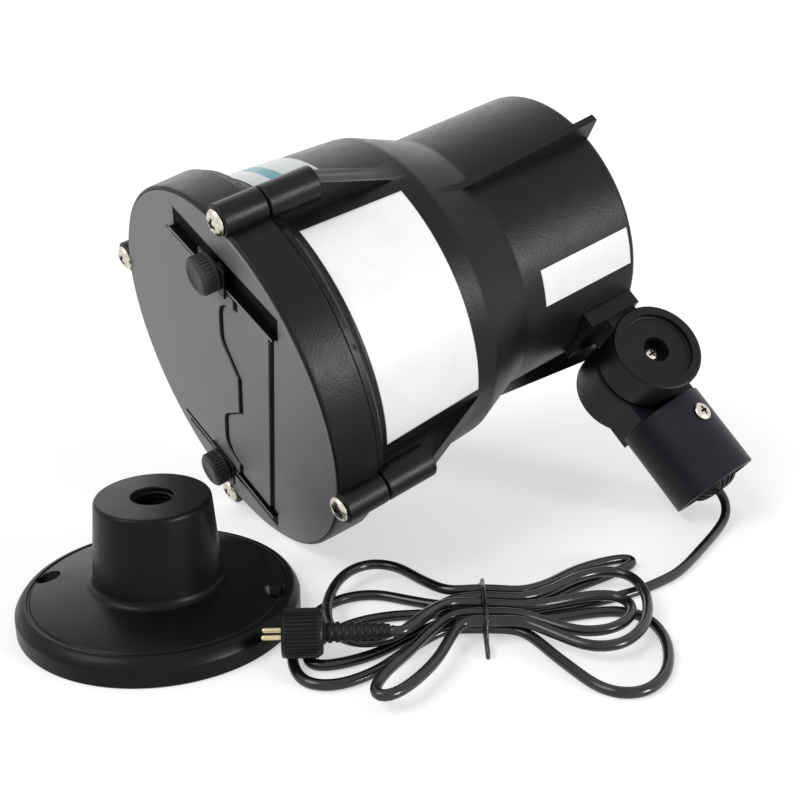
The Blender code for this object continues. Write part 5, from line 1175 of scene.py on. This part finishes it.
def ease(value):
    """A slow start and end between nothing and one."""
    value = min(max(value, 0.0), 1.0)
    return value * value * (3 - 2 * value)


def slot_place(index, x):
    """Where a run passes the tie: nine slots from the far side to the near side, in two rows."""
    height = CORD_RADIUS + WAIST_LIFT + (0.0 if index % 2 else ROW_PITCH)
    return Vector((x, HANK_CENTRE[1] + (4 - index) * SLOT_PITCH, height))


def lobe_points(side, slots, layer, reach, spread, lean, bend, skew):
    """The points of one half loop, from the tie out to its tip and back."""
    points = []
    rows = [slot_place(slot, 0.0) for slot in slots]
    climbs = slots[0] % 2 != slots[1] % 2
    for i in range(LOBE_POINTS + 1):
        part = i / LOBE_POINTS
        turn = math.pi * (part - 0.4 * math.sin(2 * math.pi * part) / (2 * math.pi))
        out = math.sin(turn)
        row = rows[0] if part < 0.5 else rows[1]
        free = ease(2.0 * out)
        level = ease(2.0 * part - 1.0) if climbs else layer
        sideways = spread * math.sin(2 * turn) + lean * out + bend * out * out
        along = WAIST_HALF + reach * out + skew * math.sin(2 * turn)
        points.append(Vector((HANK_CENTRE[0] + side * along,
                              HANK_CENTRE[1] + (row.y - HANK_CENTRE[1]) * (1 - free) + sideways * free,
                              row.z * (1 - free) + (CORD_RADIUS + level * ROW_PITCH) * free)))
    return points


def plug_axis(along):
    """A point on the plug's axis, counted from the tips of its pins."""
    turn = math.radians(PLUG_AZIMUTH)
    return Vector((PLUG_TIP[0] + along * math.cos(turn), PLUG_TIP[1] + along * math.sin(turn), PLUG_HEIGHT))


def join_point(along):
    """A point on the run that joins the lead to the hank, counted from their joint."""
    turn = math.radians(JOIN_AZIMUTH)
    x, y = JOIN_PLACE
    return Vector((x + along * math.cos(turn), y + along * math.sin(turn), CORD_RADIUS))


def cord_route():
    """The whole cord: out of the gland, along the ground, through the hank and into the strain relief."""
    in_metres = projector_frame()
    inside = in_metres @ (SOCKET @ Vector((0, 0, NUT_LOW + FIT)) * MM) / MM
    mouth = in_metres @ (SOCKET @ Vector((0, 0, NUT_HIGH)) * MM) / MM
    out = (mouth - inside).normalized()
    ground = Vector((mouth.x, mouth.y, 0.0))
    points = [inside, mouth, mouth + out * 2 * CORD_RADIUS, ground + Vector((1.4, -9.2, 5.4)),
              ground + Vector((-4.4, -18.6, 2.8)), Vector((225.5, 50.0, CORD_RADIUS + 0.1)),
              Vector((211.0, 29.0, CORD_RADIUS)), Vector((198.0, 17.5, CORD_RADIUS)),
              Vector((186.0, 9.8, CORD_RADIUS)), join_point(FIT + 13.0), join_point(FIT / 2),
              join_point(-2.2 * CORD_RADIUS),
              slot_place(3, HANK_CENTRE[0] + WAIST_HALF) + Vector((6.0, -0.2, -1.2))]
    for lobe in LOBES:
        points += lobe_points(*lobe)
    leave = slot_place(4, HANK_CENTRE[0] - WAIST_HALF)
    rise = PLUG_HEIGHT - leave.z
    points += [leave + Vector((-8.0, -1.6, 0.4 * rise)), leave + Vector((-16.5, -12.0, 0.88 * rise)),
               plug_axis(RELIEF_END + FIT + 2.2 * CORD_RADIUS), plug_axis(RELIEF_END + FIT)]
    return points


def smooth_route(points, spacing):
    """Evenly spaced points on a smooth curve through a route's own points."""
    dense = []
    count = len(points)
    for i in range(count - 1):
        before = points[i - 1] if i > 0 else points[i] * 2 - points[i + 1]
        after = points[i + 2] if i + 2 < count else points[i + 1] * 2 - points[i]
        for j in range(16):
            t = j / 16
            dense.append(0.5 * (2 * points[i] + (points[i + 1] - before) * t
                                + (2 * before - 5 * points[i] + 4 * points[i + 1] - after) * t * t
                                + (3 * points[i] - before - 3 * points[i + 1] + after) * t ** 3))
    dense.append(points[-1])
    total = sum((b - a).length for a, b in zip(dense, dense[1:]))
    pieces = max(2, round(total / spacing))
    step, spaced, walked, index = total / pieces, [dense[0]], 0.0, 0
    for k in range(1, pieces):
        while walked + (dense[index + 1] - dense[index]).length < k * step:
            walked += (dense[index + 1] - dense[index]).length
            index += 1
        part = (k * step - walked) / (dense[index + 1] - dense[index]).length
        spaced.append(dense[index].lerp(dense[index + 1], part))
    spaced.append(dense[-1])
    for _ in range(4):
        eased = [(a + 2 * b + c) / 4 for a, b, c in zip(spaced[3:], spaced[4:], spaced[5:-3])]
        spaced[4:4 + len(eased)] = eased
    return spaced


def cord_curve(name, points, radius, loop=False):
    """A round cord along points in millimetres, as a curve of one spline in metres."""
    curve = bpy.data.curves.new(name, "CURVE")
    curve.dimensions = "3D"
    curve.bevel_depth = radius * MM
    curve.bevel_resolution = 5
    curve.use_fill_caps = not loop
    spline = curve.splines.new("POLY")
    spline.points.add(len(points) - 1)
    spline.use_cyclic_u = loop
    for point, place in zip(spline.points, points):
        point.co = (*(place * MM), 1.0)
    spline.use_smooth = True
    curve.materials.append(FINISHES["cord"])
    return linked(name, curve)


class DETERRENT_OT_plug(Piece):
    """The plug: pins, insert, ribbed coupling ring and strain relief"""
    bl_idname = "deterrent.plug"
    bl_label = "Plug"

    def execute(self, context):
        cord = context.scene.cord_values
        place = GROUND @ Matrix.Translation(plug_axis(0)) @ (spin(PLUG_AZIMUTH, "Z") @ ALONG_X)
        low, high = PIN_LENGTH, RELIEF_START
        end = high - 3.0
        core = raw("plug_core", turned([(0.0, low + 0.9), (5.6, low + 0.9), (6.1, low + 0.8),
                                        (6.4, low + 1.1), (6.4, end), (0.0, end)], 72))
        holes = [moved(rod(1.25, low - 1.0, low + 4.3, 24), shift(0, side * PIN_PLACE, 0))
                 for side, name in SIDES]
        combined(core, ("DIFFERENCE", *holes))
        placed(core, "insert", "mount", "black_plastic", "plug_body", place=place)
        for side, name in SIDES:
            pin = turned([(0.0, 0.0), (0.45, 0.12), (0.8, 0.5), (0.95, 1.1), (0.95, low + 4.0),
                          (0.0, low + 4.0)], 32)
            made = raw("contact_pin_" + name, moved(pin, shift(0, side * PIN_PLACE, 0)))
            placed(made, "pins", "mount", "brass", "plug_pin_" + name, place=place)
        inner = 6.7
        rim = COLLAR_RADIUS - 0.2
        waist = COLLAR_RADIUS - 0.5
        ring = raw("ring", turned([
            (inner, low), (COLLAR_RADIUS - 0.7, low), (rim, low + 0.4), (rim, low + 1.4), (waist, low + 1.7),
            (waist, high - 1.4), (waist - 0.8, high - 0.2), (waist - 1.4, high), (4.7, high),
            (4.7, end + FIT), (inner, end + FIT)], 96))
        ridge = rib(waist, COLLAR_RADIUS, (-0.5, 0.45), (0.05, 0.42), 0.15, low + 1.6, high - 1.3)
        for vert in ridge.verts:
            if vert.co.z > high - 1.5 and vert.co.x > waist:
                vert.co.z -= 0.6
        ribs = copies("ribs", ridge, "plug", cord.collar_ribs, Turn=2 * math.pi / cord.collar_ribs)
        collar = raw("coupling_ring", as_shape(ring, ribs))
        placed(collar, "plug", "plug_collar", "black_plastic", "plug_ring", place=place)
        stem = raw("stem", turned([
            (0.0, end + FIT), (4.3, end + FIT), (4.3, high + 0.5), (RELIEF_RADIUS - 0.5, high + 1.2),
            (CORD_RADIUS + 0.45, RELIEF_END - 0.6), (CORD_RADIUS + 0.2, RELIEF_END), (0.0, RELIEF_END)], 56))
        pitch = (RELIEF_END - high - 2.4) / cord.relief_ribs
        half = [(1.9, 0.30 * pitch), (RELIEF_RADIUS - 0.25, 0.30 * pitch), (RELIEF_RADIUS, 0.16 * pitch)]
        hoop = turned([(radius, -z) for radius, z in half] + half[::-1], 48)
        moved(hoop, shift(0, 0, high + 1.0 + 0.5 * pitch))
        hoops = copies("hoops", hoop, "plug", cord.relief_ribs, Shift=pitch, Shrink=0.24 / cord.relief_ribs)
        sleeve = raw("strain_relief_sleeve", as_shape(stem, hoops))
        placed(sleeve, "plug", "mount", "black_plastic", "strain_relief", place=place)
        return {"FINISHED"}


def tie_points():
    """The wire tie's closed loop: over the hank's waist, down each side and back along the ground."""
    x, middle = HANK_CENTRE
    half = 4 * SLOT_PITCH + CORD_RADIUS + FIT + TIE_RADIUS
    low = TIE_RADIUS
    high = 2 * CORD_RADIUS + WAIST_LIFT + ROW_PITCH + FIT + TIE_RADIUS
    pinched = low + 2 * TIE_RADIUS + FIT
    over = [(middle + half + TIE_FAR, pinched), (middle + half + 2.0, pinched),
            (middle + half, pinched + 2.0), (middle + half, high - 1.6), (middle + half - 1.6, high)]
    across = [(middle + 0.4 * part * half, high) for part in (1, -1)]
    down = [(2 * middle - y, z) for y, z in reversed(over[1:])] + [(middle - half - TIE_NEAR, pinched)]
    under = [(y, low) for y in (middle - half - TIE_NEAR, middle - half, middle, middle + half,
                                middle + half + TIE_FAR)]
    return [Vector((x, y, z)) for y, z in over + across + down + under]


class DETERRENT_OT_cord(Piece):
    """The cord from the gland through the hank to the plug, and the wire tie round the hank"""
    bl_idname = "deterrent.cord"
    bl_label = "Cord and tie"

    def execute(self, context):
        diameter = context.scene.cord_values.diameter
        tie = cord_curve("hank_wire_tie", tie_points(), TIE_RADIUS, loop=True)
        name, data = tie.name, plain_mesh(tie)
        bpy.data.objects.remove(tie)
        fixed(linked(name, data), "mount", "cord_black", "cord_tie")
        route = smooth_route(cord_route(), 2.2)
        line = cord_curve("power_cord", route, 0.5 * diameter / MM)
        fixed(line, "mount", "cord_black", "cord_lead", "cord_hank")
        return {"FINISHED"}


INSIDE = {
    "zinc": ("chassis_plate", "gear_motor"),
    "brass": ("laser_module", "focus_ring", "board_post_1", "board_post_2", "board_post_3", "board_post_4"),
    "aluminium": ("heat_sink", "board_capacitor"),
    "film": ("grating_wheel",),
    "screw": ("wheel_shaft", "pivot_nut"),
    "board": ("circuit_board",),
    "rubber": ("cap_seal", "window_gasket", "cable_grommet", "friction_disc"),
    "abs": ("window_retainer",),
    "cord": ("inner_lead",),
    "label": ("lead_socket",),
}


class DETERRENT_OT_inside(Piece):
    """Finishes for the solids inside the housing and the knuckle"""
    bl_idname = "deterrent.inside"
    bl_label = "Inner pieces"

    def execute(self, context):
        for finish, nodes in INSIDE.items():
            for node in nodes:
                for place in frame["nodes"][node].material_slots:
                    place.material = FINISHES[finish]
        return {"FINISHED"}


def lamp(name, strength, breadth, direction):
    """A distant softbox in a direction, so many degrees across, that lights the whole floor evenly."""
    light = bpy.data.lights.new(name, "SUN")
    light.energy = strength
    light.angle = math.radians(breadth)
    made = linked(name, light)
    made.location = Vector(direction)
    made.rotation_euler = Vector(direction).to_track_quat("Z", "Y").to_euler()


def seen_directly(tree):
    """One where a ray comes from the camera, a reflection or through glass, and nothing elsewhere."""
    path = add(tree, "ShaderNodeLightPath").outputs
    first = add(tree, "ShaderNodeMath", {0: path["Is Camera Ray"], 1: path["Is Glossy Ray"]},
                operation="MAXIMUM")
    return add(tree, "ShaderNodeMath", {0: first, 1: path["Is Transmission Ray"]}, operation="MAXIMUM")


def white_sweep(colour):
    """A white sweep: matt, and lifted to white where it is seen, with the object's shadow left on it."""
    made = bpy.data.materials.new("white_sweep")
    made.use_nodes = True
    tree = made.node_tree
    tree.nodes.clear()
    plain = add(tree, "ShaderNodeBsdfDiffuse", {"Color": (*colour, 1.0)})
    strength = add(tree, "ShaderNodeMapRange", {"Value": seen_directly(tree), "To Max": FLOOR_LIFT})
    lift = add(tree, "ShaderNodeEmission", {"Color": (1, 1, 1, 1), "Strength": strength})
    total = add(tree, "ShaderNodeAddShader", {0: plain, 1: lift})
    add(tree, "ShaderNodeOutputMaterial", {"Surface": total})
    return made


class DETERRENT_OT_stage(Piece):
    """The camera, the pale floor and the studio light"""
    bl_idname = "deterrent.stage"
    bl_label = "Camera, floor and light"

    def execute(self, context):
        scene = context.scene
        stage = scene.stage_values
        lens = bpy.data.cameras.new("Camera")
        lens.lens = stage.lens
        lens.sensor_width = 36.0
        lens.clip_start = 0.01
        camera = linked("Camera", lens)
        camera.location = CAMERA_PLACE
        camera.rotation_euler = (math.radians(90.0 - CAMERA_TILT), 0.0, 0.0)
        scene.camera = camera
        scene.view_settings.view_transform = "Standard"
        ground = bmesh.new()
        bmesh.ops.create_grid(ground, x_segments=1, y_segments=1, size=FLOOR_HALF)
        floor = raw("floor", ground)
        floor.data.transform(GROUND)
        floor.data.materials.append(white_sweep(stage.floor_colour))
        world = bpy.data.worlds.new("Studio")
        world.use_nodes = True
        scene.world = world
        tree = world.node_tree
        sky = tree.nodes["Background"].inputs
        sky["Color"].default_value = (1.0, 1.0, 1.0, 1.0)
        feed(tree, sky["Strength"], add(tree, "ShaderNodeMapRange", {"Value": seen_directly(tree),
                                                                     "To Min": AMBIENT}))
        lamp("Key", stage.key_light, 36.0, (-0.60, -0.35, 0.75))
        lamp("Side", stage.side_light, 18.0, (0.84, -0.50, 0.17))
        lamp("Back", stage.back_light, 50.0, (-0.15, 0.90, 0.45))
        return {"FINISHED"}


class DETERRENT_PT_pieces(bpy.types.Panel):
    """The list of pieces and their values in the sidebar"""
    bl_label = "Laser bird deterrent"
    bl_idname = "DETERRENT_PT_pieces"
    bl_space_type = "VIEW_3D"
    bl_region_type = "UI"
    bl_category = "Deterrent"

    def draw(self, context):
        for operator in OPERATORS:
            self.layout.operator(operator.bl_idname, text=operator.bl_label)
        for key, values in GROUPS.items():
            box = self.layout.box()
            for name in values.__annotations__:
                box.prop(getattr(context.scene, key), name)


# In the order in which they run
OPERATORS = (
    DETERRENT_OT_stage, DETERRENT_OT_plug, DETERRENT_OT_cord, DETERRENT_OT_flange, DETERRENT_OT_cap,
    DETERRENT_OT_cap_screws, DETERRENT_OT_disc, DETERRENT_OT_shutters, DETERRENT_OT_thumb_screws,
    DETERRENT_OT_window, DETERRENT_OT_housing, DETERRENT_OT_labels, DETERRENT_OT_bracket,
    DETERRENT_OT_socket_arm, DETERRENT_OT_knuckle_screws, DETERRENT_OT_gland, DETERRENT_OT_inside)
GROUPS = {"projector_values": ProjectorValues, "cord_values": CordValues, "stage_values": StageValues}


def register():
    for made in (*GROUPS.values(), *OPERATORS, DETERRENT_PT_pieces):
        bpy.utils.register_class(made)
    for key, values in GROUPS.items():
        setattr(bpy.types.Scene, key, PointerProperty(type=values))


def unregister():
    for key in GROUPS:
        delattr(bpy.types.Scene, key)
    for made in (DETERRENT_PT_pieces, *OPERATORS, *GROUPS.values()):
        bpy.utils.unregister_class(made)


def main():
    """Build every piece."""
    register()
    make_finishes()
    for operator in OPERATORS:
        group, name = operator.bl_idname.split(".")
        getattr(getattr(bpy.ops, group), name)()


if __name__ == "__main__":
    main()
